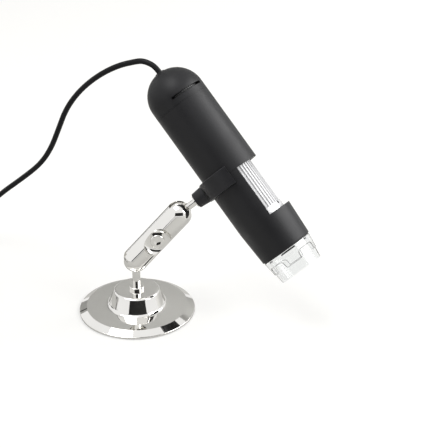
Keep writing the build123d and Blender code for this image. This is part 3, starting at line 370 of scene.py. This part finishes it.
@functools.cache
def collar_group():
    """Painted shade on the nozzle's moulded edges: a darker colour on a thin line along the collar's rim and round
    its arches, where the steps bend the light.

    The recess under the collar is all that lies below the rim, joined to arches that reach up into it. An arch's
    distance is a rounded box's: with q the point less the box's inner corner, it is the length of q's parts above
    zero, plus the larger of q's parts where both are below zero, less the corner's radius.
    """
    group, given = new_group(
        "Collar edge shade", Vector=None, Centre=None, Ahead=None, Side=None, Axis=None, Turn=0.9, Half=0.0058,
        Top=-0.0558, Rim=-0.0602, Corner=0.0024, Radius=0.0215, Taper=0.12, Skin_depth=0.0007, Line=0.0002,
        Skin=(1, 1, 1, 1), Edge=(0.4, 0.4, 0.4, 1),
    )
    offset = vector(group, "SUBTRACT", given["Vector"], given["Centre"])
    height = vector(group, "DOT_PRODUCT", offset, given["Axis"])
    radius = vector(group, "LENGTH", vector(group, "CROSS_PRODUCT", offset, given["Axis"]))
    side = vector(group, "DOT_PRODUCT", offset, given["Side"])
    ahead = vector(group, "DOT_PRODUCT", offset, given["Ahead"])
    angle = number(group, "SUBTRACT", number(group, "ARCTAN2", side, ahead), given["Turn"])
    folded = number(group, "PINGPONG", angle, math.pi / COLLAR_ARCHES)
    across = number(group, "MULTIPLY", radius, number(group, "SINE", folded))
    over_side = number(group, "ADD", number(group, "SUBTRACT", across, given["Half"]), given["Corner"])
    over_top = number(group, "ADD", number(group, "SUBTRACT", height, given["Top"]), given["Corner"])
    corner = add(group, "CombineXYZ", {"X": over_side, "Y": over_top})
    outside = vector(group, "LENGTH", vector(group, "MAXIMUM", corner, (0.0, 0.0, 0.0)))
    inside = number(group, "MINIMUM", number(group, "MAXIMUM", over_side, over_top), 0.0)
    arch = number(group, "SUBTRACT", number(group, "ADD", outside, inside), given["Corner"])
    below_rim = number(group, "SUBTRACT", height, given["Rim"])
    recess = number(group, "SMOOTH_MIN", arch, below_rim, COLLAR_BLEND)
    # The thin painted shade line that follows the recess's outline, kept to the outer skin
    line = number(group, "LESS_THAN", number(group, "ABSOLUTE", recess), given["Line"])
    skin = number(group, "MULTIPLY_ADD", height, given["Taper"], given["Radius"])
    near_skin = number(group, "LESS_THAN", number(group, "SUBTRACT", skin, radius), given["Skin depth"])
    mask = number(group, "MULTIPLY", line, near_skin)
    return close_group(group, Color=mixed(group, mask, given["Skin"], given["Edge"]))


# Materials
class Finish:
    """A material with its Principled shader, its Object coordinates and ways to add shared groups."""

    def __init__(self, name, **sockets):
        self.material = bpy.data.materials.new(name)
        self.material.use_nodes = True
        self.tree = self.material.node_tree
        self.shader = next(n for n in self.tree.nodes if n.type == "BSDF_PRINCIPLED")
        self.coordinates = self.tree.nodes.new("ShaderNodeTexCoord")
        for label, value in sockets.items():
            self.shader.inputs[label.replace("_", " ")].default_value = value

    def group(self, shared, **values):
        """The outputs of a shared group that is placed in this material with its own values."""
        node = self.tree.nodes.new("ShaderNodeGroup")
        node.node_tree = shared
        self.tree.links.new(self.coordinates.outputs["Object"], node.inputs["Vector"])
        for label, value in values.items():
            node.inputs[label.replace("_", " ")].default_value = value
        return node.outputs

    def feed(self, **sources):
        """Links each source to the shader's socket of that name."""
        for label, source in sources.items():
            self.tree.links.new(source, self.shader.inputs[label.replace("_", " ")])

    def grain(self, scale, depth):
        self.feed(Normal=self.group(grain_group(), Scale=scale, Depth=depth)["Normal"])

    def handling(self, scale, low, high):
        self.feed(Roughness=self.group(handling_group(), Scale=scale, Low=low, High=high)["Roughness"])

    def tint(self, base, second, scale):
        made = self.group(tint_group(), Base=shade(base), Second=shade(second), Scale=scale)
        self.feed(Base_Color=made["Color"])

    def lines(self, stretch, depth, low, high):
        made = self.group(brushed_group(), Stretch=stretch, Depth=depth, Low=low, High=high)
        self.feed(Roughness=made["Roughness"], Normal=made["Normal"])

    # The flutes' dark floors are painted shade in the roller's grooves
    def flutes(self, dark, bright):
        made = self.group(
            flute_group(), Centre=tuple(CLIP_CENTRE), Axis=tuple(BARREL_UP), Dark=dark, Bright=bright,
        )
        self.feed(Base_Color=made["Color"])

    def tracks(self, mask, track, scale, height):
        """A board's tracks, raised where they have a height."""
        made = self.group(track_group(), Mask_colour=shade(mask), Track_colour=shade(track), Scale=scale)
        self.feed(Base_Color=made["Color"])
        if height:
            self.feed(Normal=add(self.tree, "Bump", {"Height": made["Height"], "Distance": height}))

    def collar(self, clear, edge, grazing_shade):
        """A clear wall's tint: the collar's colours with their painted shade lines square on, and one painted darker
        shade where it is seen along its skin.
        """
        made = self.group(
            collar_group(), Centre=tuple(CLIP_CENTRE), Ahead=tuple(ROD_WAY), Side=tuple(BARREL_SIDE),
            Axis=tuple(BARREL_UP), Turn=ARCH_TURN, Half=ARCH_HALF, Top=ARCH_TOP, Rim=COLLAR_RIM,
            Radius=NOZZLE_SKIN, Taper=NOZZLE_TAPER, Skin=clear, Edge=edge,
        )
        # Painted shade: the wall's colour darkens where it is seen along its skin
        weight = self.tree.nodes.new("ShaderNodeLayerWeight")
        weight.inputs["Blend"].default_value = 0.5
        along = share_of(self.tree, weight.outputs["Facing"], GRAZING_FROM, 1.0)
        self.feed(Base_Color=mixed(self.tree, along, made["Color"], grazing_shade))


def shade(colour, factor=1.0):
    """A colour made lighter or darker, with full alpha."""
    return (*[min(1.0, c * factor) for c in colour[:3]], 1.0)


def recipes(look):
    """Each finish's own shader sockets, and the values of the Finish methods that complete it."""
    case, black, chrome = look.casing_colour, look.black_colour, look.chrome_colour
    silver, clear = look.roller_colour, look.clear_colour
    return {
        "soft_touch_casing": dict(
            sockets=dict(Specular_IOR_Level=0.3), tint=(shade(case, 0.92), shade(case, 1.08), 55.0),
            handling=(38.0, 0.4, 0.48), grain=(look.grain_scale, 0.000008),
        ),
        "clip_plastic": dict(
            sockets=dict(Specular_IOR_Level=0.35), tint=(shade(black, 0.9), shade(black, 1.25), 80.0),
            handling=(60.0, 0.34, 0.44), grain=(2600.0, 0.00001),
        ),
        "bright_chrome": dict(
            sockets=dict(Metallic=1.0), tint=(shade(chrome, 0.97), chrome, 70.0),
            handling=(120.0, 0.02, 0.06), grain=(38.0, 0.00005),
        ),
        "cast_iron": dict(
            sockets=dict(Metallic=1.0), tint=((0.12, 0.12, 0.125), (0.2, 0.19, 0.18), 200.0),
            handling=(150.0, 0.6, 0.8), grain=(900.0, 0.0001),
        ),
        "pad_rubber": dict(
            sockets=dict(Specular_IOR_Level=0.3), tint=((0.02, 0.02, 0.02), (0.035, 0.035, 0.034), 90.0),
            handling=(70.0, 0.72, 0.86), grain=(1800.0, 0.00003),
        ),
        "seal_elastomer": dict(
            sockets=dict(Specular_IOR_Level=0.35), tint=((0.016, 0.016, 0.016), (0.026, 0.026, 0.026), 120.0),
            handling=(90.0, 0.5, 0.65), grain=(2200.0, 0.00001),
        ),
        "turned_steel": dict(
            sockets=dict(Metallic=1.0), tint=((0.55, 0.55, 0.56), (0.66, 0.66, 0.67), 300.0),
            lines=((400.0, 400.0, 6000.0), 0.000003, 0.24, 0.4),
        ),
        "black_steel": dict(
            sockets=dict(Metallic=1.0), tint=((0.06, 0.06, 0.06), (0.11, 0.11, 0.11), 700.0),
            handling=(300.0, 0.3, 0.45), grain=(3000.0, 0.000004),
        ),
        "turned_brass": dict(
            sockets=dict(Metallic=1.0), tint=((0.72, 0.52, 0.22), (0.83, 0.62, 0.3), 260.0),
            lines=((500.0, 500.0, 5000.0), 0.000003, 0.2, 0.34),
        ),
        "silver_roller": dict(
            # flutes: painted shade, dark in the grooves' floors and bright on the lands
            sockets=dict(Metallic=0.2), flutes=(shade(silver, 0.62), shade(silver, 0.9)),
            handling=(140.0, 0.4, 0.52), grain=(5200.0, 0.000004),
        ),
        "silver_ring": dict(
            sockets=dict(Metallic=0.4), tint=(shade(silver, 0.99), shade(silver, 1.08), 80.0),
            handling=(140.0, 0.2, 0.3), grain=(5200.0, 0.000003),
        ),
        "matt_frame": dict(
            tint=((0.02, 0.02, 0.021), (0.034, 0.034, 0.035), 140.0),
            handling=(90.0, 0.45, 0.6), grain=(2400.0, 0.000012),
        ),
        "black_anodised": dict(
            sockets=dict(Metallic=0.8), tint=((0.03, 0.03, 0.032), (0.05, 0.05, 0.054), 200.0),
            lines=((500.0, 500.0, 500.0), 0.000004, 0.3, 0.45),
        ),
        "coated_glass": dict(
            sockets=dict(
                Transmission_Weight=1.0, IOR=1.6, Base_Color=(0.86, 0.93, 0.95, 1),
                Coat_Weight=0.6, Coat_Tint=(0.6, 0.5, 0.9, 1),
            ),
            handling=(200.0, 0.0, 0.02),
        ),
        "led_epoxy": dict(
            sockets=dict(Transmission_Weight=0.85, IOR=1.5, Base_Color=(0.96, 0.95, 0.86, 1)),
            handling=(400.0, 0.06, 0.14), grain=(1500.0, 0.000003),
        ),
        "led_phosphor": dict(
            sockets=dict(Specular_IOR_Level=0.3), tint=((0.9, 0.72, 0.16), (0.95, 0.8, 0.3), 900.0),
            handling=(500.0, 0.5, 0.7),
        ),
        "green_circuit": dict(
            sockets=dict(Coat_Weight=0.35, Coat_Roughness=0.2),
            tracks=((0.02, 0.16, 0.07), (0.05, 0.3, 0.13), 700.0, 0.00004), handling=(200.0, 0.3, 0.42),
        ),
        "white_circuit": dict(
            sockets=dict(Coat_Weight=0.3, Coat_Roughness=0.25),
            tracks=((0.82, 0.82, 0.8), (0.7, 0.7, 0.67), 500.0, 0.0), handling=(200.0, 0.35, 0.5),
        ),
        "chip_epoxy": dict(
            sockets=dict(Specular_IOR_Level=0.4), tint=((0.018, 0.018, 0.02), (0.03, 0.03, 0.032), 400.0),
            handling=(250.0, 0.5, 0.65), grain=(6000.0, 0.000008),
        ),
        "ceramic_part": dict(
            sockets=dict(Specular_IOR_Level=0.45), tint=((0.36, 0.26, 0.16), (0.5, 0.38, 0.25), 500.0),
            handling=(400.0, 0.4, 0.55),
        ),
        "sensor_glass": dict(
            sockets=dict(Metallic=0.3, Coat_Weight=0.8, Coat_Roughness=0.05),
            tint=((0.07, 0.03, 0.16), (0.05, 0.12, 0.16), 260.0), handling=(300.0, 0.12, 0.2),
        ),
        "wheel_moulding": dict(
            tint=((0.022, 0.022, 0.023), (0.034, 0.034, 0.035), 160.0),
            handling=(120.0, 0.38, 0.52), grain=(3200.0, 0.00001),
        ),
        "clear_acrylic": dict(
            sockets=dict(Transmission_Weight=1.0, IOR=1.36),
            # The collar's lines and the grazing edge are painted shade: darker tints of the clear colour
            collar=(clear, shade(clear, 0.32), shade(clear, 0.2)),
            handling=(75.0, 0.01, 0.03), grain=(60.0, 0.00002),
        ),
        "cord_sleeve": dict(
            sockets=dict(Specular_IOR_Level=0.16), tint=(shade(black, 0.6), shade(black, 0.9), 70.0),
            handling=(55.0, 0.34, 0.44), grain=(1500.0, 0.000008),
        ),
        "plug_moulding": dict(
            sockets=dict(Specular_IOR_Level=0.42), tint=(shade(black, 0.9), shade(black, 1.2), 90.0),
            handling=(80.0, 0.42, 0.55), grain=(1700.0, 0.00002),
        ),
        "bright_nickel": dict(
            sockets=dict(Metallic=1.0), tint=((0.74, 0.74, 0.73), (0.82, 0.82, 0.81), 200.0),
            lines=((2500.0, 90.0, 2500.0), 0.000002, 0.12, 0.24),
        ),
        "tongue_moulding": dict(
            tint=((0.78, 0.78, 0.75), (0.85, 0.85, 0.82), 150.0), handling=(120.0, 0.35, 0.5),
        ),
        "gold_plating": dict(
            sockets=dict(Metallic=1.0), tint=((0.83, 0.6, 0.24), (0.9, 0.68, 0.3), 400.0),
            handling=(400.0, 0.15, 0.28),
        ),
    }


@functools.cache
def finish_of(name):
    """The finished material of that name, made once from the scene's settings."""
    recipe = recipes(bpy.context.scene.microscope_finish)[name]
    made = Finish(name, **recipe.pop("sockets", {}))
    for layer, values in recipe.items():
        getattr(made, layer)(*values)
    return made.material


def dress(finish, *names):
    """Gives CAD nodes one finish in place of their plain material."""
    for name in names:
        mesh = nodes[name].data
        mesh.materials.clear()
        mesh.materials.append(finish_of(finish))


# Settings
def colour_setting(name, description, *default):
    """A colour in the sidebar, with full alpha."""
    return FloatVectorProperty(
        name=name, description=description, subtype="COLOR", size=4, min=0, max=1, default=(*default, 1.0),
    )


class MicroscopeFinish(PropertyGroup):
    """Colours and grain of the microscope and its stand."""

    casing_colour: colour_setting("Casing", "Soft-touch skin of the barrel and cap", 0.0115, 0.0115, 0.013)
    black_colour: colour_setting("Black plastic", "Clip, cord and plug", 0.012, 0.012, 0.014)
    chrome_colour: colour_setting("Chrome", "Foot, studs and arm", 0.84, 0.83, 0.805)
    roller_colour: colour_setting("Roller", "Finned focus roller and its ring", 0.76, 0.76, 0.77)
    clear_colour: colour_setting("Clear plastic", "Nozzle", 0.905, 0.913, 0.915)
    grain_scale: FloatProperty(
        name="Casing grain", description="How fine the soft-touch skin's grain is",
        default=4200.0, min=500.0, max=9000.0,
    )


class MicroscopeCord(PropertyGroup):
    """The cord's size."""

    diameter: FloatProperty(
        name="Diameter", description="Outside of the cord's sleeve",
        default=0.0033, min=0.002, max=0.006, unit="LENGTH",
    )
    length: FloatProperty(
        name="Length", description="From the cap to the plug", default=1.433, min=0.5, max=3.0, unit="LENGTH",
    )
    sides: IntProperty(
        name="Roundness", description="Facets round a quarter of the cord", default=3, min=1, max=8,
    )


class MicroscopeStudio(PropertyGroup):
    """Camera, lamps and floor."""

    lens: FloatProperty(
        name="Lens", description="Focal length on a 36 mm sensor", default=97.67, min=20.0, max=300.0,
    )
    key_power: FloatProperty(name="Key lamp", description="Large lamp to the right", default=23.0, unit="POWER")
    fill_power: FloatProperty(
        name="Fill lamp", description="Large lamp above and to the left", default=9.0, unit="POWER",
    )
    sky: FloatProperty(
        name="Surround", description="Light that the white surround gives", default=0.42, min=0.0, max=2.0,
    )
    floor_glow: FloatProperty(
        name="Floor white", description="Lifts the seen floor to white", default=0.44, min=0.01, max=1.0,
    )
    mirror_glow: FloatProperty(
        name="Floor in metal", description="Lifts the floor that metal mirrors", default=0.02, min=0.0, max=1.0,
    )
    floor_colour: colour_setting("Floor", "Pale table", 0.57, 0.565, 0.545)


# Pieces
class MICROSCOPE_OT_stand(Operator):
    """Finish the foot, studs, arm and clamp, and lay the ribbed pad under the foot."""

    bl_idname = "microscope.stand"
    bl_label = "Chrome stand"

    def execute(self, context):
        dress("bright_chrome", "foot_cover", "lower_ball_stud", "upper_ball_stud")
        dress("bright_chrome", "arm_shell_front", "arm_shell_rear", "clamp_bolt", "clamp_knob")
        dress("cast_iron", "foot_weight")
        dress("turned_steel", "foot_washer", "stud_nut")
        points, faces = self.pad()
        pad = add_piece("ribbed_pad", points * MM, faces, finish_of("pad_rubber"), "base")
        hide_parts("foot_pad")
        return {"FINISHED"}

    @staticmethod
    def pad():
        """A disc turned from a profile whose underside height is a row of half-cosine dips between flat lands."""
        radius, hole, thick, pitch, depth, steps = 31.88, 0.6, 1.0, 2.6, 0.4, 96
        r = np.linspace(hole, radius - 0.3, 150)
        dip = np.clip(np.cos(2 * np.pi * r / pitch) * 1.6 - 0.6, 0, 1) * depth * (r > 6.0) * (r < radius - 1.5)
        under = np.column_stack([r[::-1], dip[::-1]])
        over = [(hole, thick), (radius - 0.2, thick), (radius, thick - 0.2), (radius, 0.3)]
        points, faces = turned_ring([*under, *over], steps)
        columns = len(under) + len(over)
        bore = {len(under) - 1, len(under)}
        faces = [f for f in faces.tolist() if not bore <= {v % columns for v in f}]
        hub = np.arange(steps) * columns + len(under)
        return points, faces + [(hub - 1)[::-1].tolist(), hub.tolist()]


class MICROSCOPE_OT_clip(Operator):
    """Finish the C-shaped clip and its threaded insert."""

    bl_idname = "microscope.clip"
    bl_label = "Clip"

    def execute(self, context):
        dress("clip_plastic", "holder_clip")
        dress("turned_brass", "clip_insert")
        return {"FINISHED"}


class MICROSCOPE_OT_casing(Operator):
    """Finish the cap, the barrel and the seal."""

    bl_idname = "microscope.casing"
    bl_label = "Casing"

    def execute(self, context):
        dress("soft_touch_casing", "top_cap", "upper_barrel", "lower_barrel")
        dress("seal_elastomer", "nozzle_seal", "cord_grommet")
        dress("matt_frame", "chassis")
        return {"FINISHED"}


class MICROSCOPE_OT_focus(Operator):
    """Finish the focus roller and the lens group, and add the lens's front ring."""

    bl_idname = "microscope.focus"
    bl_label = "Focus roller and lens"

    def execute(self, context):
        dress("silver_roller", "focus_roller")
        dress("silver_ring", "roller_ring")
        dress("black_steel", "grub_screw")
        dress("matt_frame", "lens_carriage")
        dress("black_anodised", "lens_barrel")
        dress("coated_glass", "lens_elements")
        profile = [(4.2, -27.0), (3.9, -27.3), (4.4, -27.7), (5.5, -27.7), (5.9, -27.4), (5.9, -27.0), (4.7, -27.0)]
        points, faces = turned_ring(profile, 72)
        add_piece(
            "lens_ring", scope_points(points), faces, finish_of("black_anodised"),
            "lens_carriage", smooth=False,
        )
        return {"FINISHED"}


class MICROSCOPE_OT_dimmer(Operator):
    """Finish the light control in the cap."""

    bl_idname = "microscope.dimmer"
    bl_label = "Light control"

    def execute(self, context):
        dress("green_circuit", "light_board")
        dress("chip_epoxy", "dimmer_control")
        dress("wheel_moulding", "dimmer_wheel")
        return {"FINISHED"}


class MICROSCOPE_OT_electronics(Operator):
    """Finish the boards, chips, sensor and lamps, and add the board's small parts and the lamps' dies."""

    bl_idname = "microscope.electronics"
    bl_label = "Electronics"

    def execute(self, context):
        dress("green_circuit", "main_board", "sensor_board")
        dress("white_circuit", "led_board")
        dress("chip_epoxy", "board_chips")
        dress("turned_steel", "board_screws")
        dress("sensor_glass", "image_sensor")
        dress("led_epoxy", "leds")
        self.lamp_dies()
        self.small_parts()
        return {"FINISHED"}

    @staticmethod
    def lamp_dies():
        """A small square die under each lamp's dome, on a circle: x = R cos t, y = R sin t."""
        shape, faces = rounded_box((1.1, 1.1, 0.3), 0.1)
        t = np.arange(LAMPS) * 2 * np.pi / LAMPS
        points, faces = repeated(shape, faces, turned_places(t, LAMP_CIRCLE, LAMP_LEVEL))
        add_piece(
            "lamp_dies", scope_points(points), faces, finish_of("led_phosphor"),
            "microscope", smooth=False,
        )

    @staticmethod
    def small_parts():
        """Rows of ceramic parts on the upright board, in even steps across it and up it, with a few left out."""
        shape, faces = rounded_box((0.9, 1.6, 0.7), 0.12)
        across = np.array([-12.4, -9.8, 9.8, 12.4])
        level = np.arange(11.0, 41.0, 2.4)
        y, z = [g.ravel() for g in np.meshgrid(across, level)]
        keep = (np.arange(len(y)) * 7) % 5 != 0
        y, z = y[keep], z[keep]
        places = np.zeros((len(y), 4, 3))
        places[:, 0, 2] = 1.0
        places[:, 1, 1] = -1.0
        places[:, 2, 0] = 1.0
        places[:, 3] = np.column_stack([np.full(len(y), BOARD_FACE), y, z])
        points, faces = repeated(shape, faces, places)
        add_piece(
            "small_parts", scope_points(points), faces, finish_of("ceramic_part"),
            "microscope", smooth=False,
        )


class MICROSCOPE_OT_nozzle(Operator):
    """Finish the clear nozzle and add the black lugs that show through its neck."""

    bl_idname = "microscope.nozzle"
    bl_label = "Clear nozzle"

    def execute(self, context):
        dress("clear_acrylic", "clear_nozzle")
        profile = [(12.0, -53.1), (12.35, -53.1), (12.45, -53.0), (12.45, -52.5), (12.35, -52.4), (12.0, -52.4)]
        shape, faces = turned_arc(profile, math.radians(21.0), 24)
        t = np.radians(-79.0) + np.arange(4) * np.pi / 2
        points, faces = repeated(shape, faces, turned_places(t))
        add_piece("neck_lugs", scope_points(points), faces, finish_of("matt_frame"), "nozzle")
        return {"FINISHED"}


class MICROSCOPE_OT_cord(Operator):
    """Lay the cord from the cap to its put-away coil and plug."""

    bl_idname = "microscope.cord"
    bl_label = "Cord and plug"

    def execute(self, context):
        dress("cord_sleeve", "inner_cord", "plug_relief")
        dress("seal_elastomer", "cord_tie")
        dress("plug_moulding", "plug_body")
        dress("bright_nickel", "plug_shell")
        dress("tongue_moulding", "plug_tongue")
        dress("gold_plating", "plug_contacts")
        size = context.scene.microscope_cord
        points = self.route()
        curve = bpy.data.curves.new("usb_lead", "CURVE")
        curve.dimensions = "3D"
        curve.resolution_u = 8
        curve.bevel_depth = size.diameter / 2
        curve.bevel_resolution = size.sides
        curve.use_fill_caps = True
        spline = curve.splines.new("NURBS")
        spline.points.add(len(points) - 1)
        spline.points.foreach_set("co", np.column_stack([points, np.ones(len(points))]).ravel())
        spline.order_u = 3
        spline.use_endpoint_u = True
        spline.use_smooth = True
        curve.materials.append(finish_of("cord_sleeve"))
        lead = place_object("usb_lead", curve)
        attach(lead, "microscope")
        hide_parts("usb_cord", "usb_cord_coil", "usb_cord_tail")
        return {"FINISHED"}

    @staticmethod
    def route():
        """The stretch's points, the coil's half turns as circles in even steps, and the tail's points."""
        start = np.array([COIL_CENTRE[0] + COIL_OUTER, COIL_CENTRE[1] + TAIL[0][0], COIL_FLOOR])
        points = [CORD_EXIT, CORD_EXIT + BARREL_UP * 0.0042, *ROUTE, start]
        spots = [(COIL_OUTER, COIL_FLOOR)]
        for layer in range(COIL_LAYERS):
            if layer:
                spots.append((spots[-1][0], COIL_FLOOR + layer * COIL_PITCH))
            step = COIL_PITCH / 2 * (-1 if layer % 2 == 0 else 1)
            for _ in range(HALF_TURNS - (layer == COIL_LAYERS - 1)):
                spots.append((spots[-1][0] + step, spots[-1][1]))
        angle = (np.arange(POINTS_PER_HALF_TURN) + 0.5) * np.pi / POINTS_PER_HALF_TURN
        grow = 1 / math.cos(np.pi / POINTS_PER_HALF_TURN / 2)
        for i, ((r0, z0), (r1, z1)) in enumerate(zip(spots, spots[1:])):
            side = 1 if i % 2 == 0 else -1
            a = np.array([COIL_CENTRE[0] + side * r0, COIL_CENTRE[1], z0])
            b = np.array([COIL_CENTRE[0] - side * r1, COIL_CENTRE[1], z1])
            middle = (a + b) / 2
            ahead = np.array([0.0, -side, 0.0]) * np.linalg.norm(b - a) / 2
            bend = np.cos(angle)[:, None] * (a - middle) + np.sin(angle)[:, None] * ahead
            points.extend(middle + grow * bend)
        end = np.array([COIL_CENTRE[0] + spots[-1][0], COIL_CENTRE[1], spots[-1][1]])
        for back, drop in TAIL:
            height = PLUG_AXIS_HEIGHT if drop is None else end[2] + drop
            points.append((end[0], end[1] - back, height))
        return np.array(points)


# Studio
def flat_mesh(name, width, depth, material):
    """A rectangle about the origin, flat in x and y."""
    w, d = width / 2, depth / 2
    mesh = bpy.data.meshes.new(name)
    mesh.from_pydata([(-w, -d, 0), (w, -d, 0), (w, d, 0), (-w, d, 0)], [], [(0, 1, 2, 3)])
    mesh.materials.append(material)
    return mesh


def turned_to(place, target, axis):
    """The turn that points an axis of an object at that place to the target."""
    return (Vector(target) - Vector(place)).to_track_quat(axis, "Y").to_euler()


class MICROSCOPE_OT_studio(Operator):
    """Set the pale floor, the soft lamps, the surround and the camera."""

    bl_idname = "microscope.studio"
    bl_label = "Studio"

    def execute(self, context):
        look = context.scene.microscope_studio
        self.floor(look)
        self.surround(look)
        self.lamp("key_lamp", (1.3, -0.15, 0.95), (0.03, 0.0, 0.06), (1.7, 0.8), look.key_power)
        self.lamp("fill_lamp", (-0.5, -0.2, 1.5), STAND_MIDDLE, (1.0, 0.8), look.fill_power)
        self.card("front_card", (0.02, -1.35, 0.56), (2.05, 0.74), 0.015)
        self.card("back_card", (0.1, 1.4, 0.8), (2.4, 1.46), 0.66)
        self.card("left_strip", (-0.86, -1.16, 0.12), (0.26, 0.1), 0.02)
        self.camera(look)
        context.scene.view_settings.view_transform = "Standard"
        return {"FINISHED"}

    @staticmethod
    def floor(look):
        made = Finish("pale_table", Base_Color=look.floor_colour, Roughness=0.7, Specular_IOR_Level=0.2)
        tree = made.tree
        rays = tree.nodes.new("ShaderNodeLightPath").outputs
        seen = number(tree, "MAXIMUM", rays["Is Camera Ray"], rays["Is Transmission Ray"])
        mirrored = number(tree, "MULTIPLY", rays["Is Glossy Ray"], look.mirror_glow / look.floor_glow)
        lit = number(tree, "MAXIMUM", seen, mirrored)
        made.feed(Emission_Strength=number(tree, "MULTIPLY", lit, look.floor_glow))
        made.shader.inputs["Emission Color"].default_value = (1, 1, 1, 1)
        table = place_object("table", flat_mesh("table", 2 * FLOOR_REACH, 2 * FLOOR_REACH, made.material))

    @staticmethod
    def surround(look):
        world = bpy.data.worlds.new("surround")
        bpy.context.scene.world = world
        world.use_nodes = True
        tree = world.node_tree
        back = next(n for n in tree.nodes if n.type == "BACKGROUND")
        back.inputs["Color"].default_value = (1, 1, 1, 1)
        rays = tree.nodes.new("ShaderNodeLightPath").outputs
        seen = number(tree, "MAXIMUM", rays["Is Camera Ray"], rays["Is Glossy Ray"])
        all_seen = number(tree, "MAXIMUM", seen, rays["Is Transmission Ray"])
        strength = add(tree, "Mix", {"Factor": all_seen, "A": look.sky, "B": 1.0})
        tree.links.new(strength, back.inputs["Strength"])

    @staticmethod
    def lamp(name, place, target, size, power):
        data = bpy.data.lights.new(name, "AREA")
        data.shape = "RECTANGLE"
        data.size, data.size_y = size
        data.energy = power
        lamp = place_object(name, data)
        lamp.location = place
        lamp.rotation_euler = turned_to(place, target, "-Z")

    @staticmethod
    def card(name, place, size, grey):
        """A flat card that faces the stand and shows in reflections alone, as a studio's flags do."""
        made = Finish(name, Base_Color=(grey, grey, grey * 0.98, 1), Roughness=0.9)
        card = place_object(name, flat_mesh(name, *size, made.material))
        card.location = place
        card.rotation_euler = turned_to(place, STAND_MIDDLE, "Z")
        card.visible_camera = False
        card.visible_diffuse = False
        card.visible_transmission = False
        card.visible_shadow = False

    @staticmethod
    def camera(look):
        yaw, pitch, roll = math.radians(4.81), math.radians(27.27), math.radians(0.31)
        ahead = Vector((math.sin(yaw) * math.cos(pitch), math.cos(yaw) * math.cos(pitch), -math.sin(pitch)))
        level = Vector((math.cos(yaw), -math.sin(yaw), 0.0))
        above = level.cross(ahead)
        right = level * math.cos(roll) + above * math.sin(roll)
        up = above * math.cos(roll) - level * math.sin(roll)
        data = bpy.data.cameras.new("camera")
        data.lens = look.lens
        data.sensor_width = 36.0
        data.clip_start = 0.01
        camera = place_object("camera", data)
        turn = Matrix((right, up, -ahead)).transposed().to_4x4()
        camera.matrix_world = Matrix.Translation(CAMERA_PLACE) @ turn
        bpy.context.scene.camera = camera


class MICROSCOPE_PT_pieces(Panel):
    """Lists the settings and the steps in the sidebar."""

    bl_label = "Microscope"
    bl_space_type = "VIEW_3D"
    bl_region_type = "UI"
    bl_category = "Microscope"

    def draw(self, context):
        layout = self.layout
        scene = context.scene
        for settings in (scene.microscope_finish, scene.microscope_cord, scene.microscope_studio):
            column = layout.column(align=True)
            for name in settings.bl_rna.properties.keys():
                if name not in ("rna_type", "name"):
                    column.prop(settings, name)
        for step in STEPS:
            layout.operator(step.bl_idname)


STEPS = (
    MICROSCOPE_OT_studio,
    MICROSCOPE_OT_cord,
    MICROSCOPE_OT_stand,
    MICROSCOPE_OT_clip,
    MICROSCOPE_OT_casing,
    MICROSCOPE_OT_focus,
    MICROSCOPE_OT_dimmer,
    MICROSCOPE_OT_electronics,
    MICROSCOPE_OT_nozzle,
)
SETTINGS = (MicroscopeFinish, MicroscopeCord, MicroscopeStudio)


def register():
    for item in (*SETTINGS, *STEPS, MICROSCOPE_PT_pieces):
        bpy.utils.register_class(item)
    bpy.types.Scene.microscope_finish = PointerProperty(type=MicroscopeFinish)
    bpy.types.Scene.microscope_cord = PointerProperty(type=MicroscopeCord)
    bpy.types.Scene.microscope_studio = PointerProperty(type=MicroscopeStudio)


def unregister():
    del bpy.types.Scene.microscope_studio
    del bpy.types.Scene.microscope_cord
    del bpy.types.Scene.microscope_finish
    for item in reversed((*SETTINGS, *STEPS, MICROSCOPE_PT_pieces)):
        bpy.utils.unregister_class(item)


def main():
    register()
    for step in STEPS:
        group, name = step.bl_idname.split(".")
        done = getattr(getattr(bpy.ops, group), name)()
        if done != {"FINISHED"}:
            raise RuntimeError(f"{step.bl_label} didn't finish")


if __name__ == "__main__":
    main()
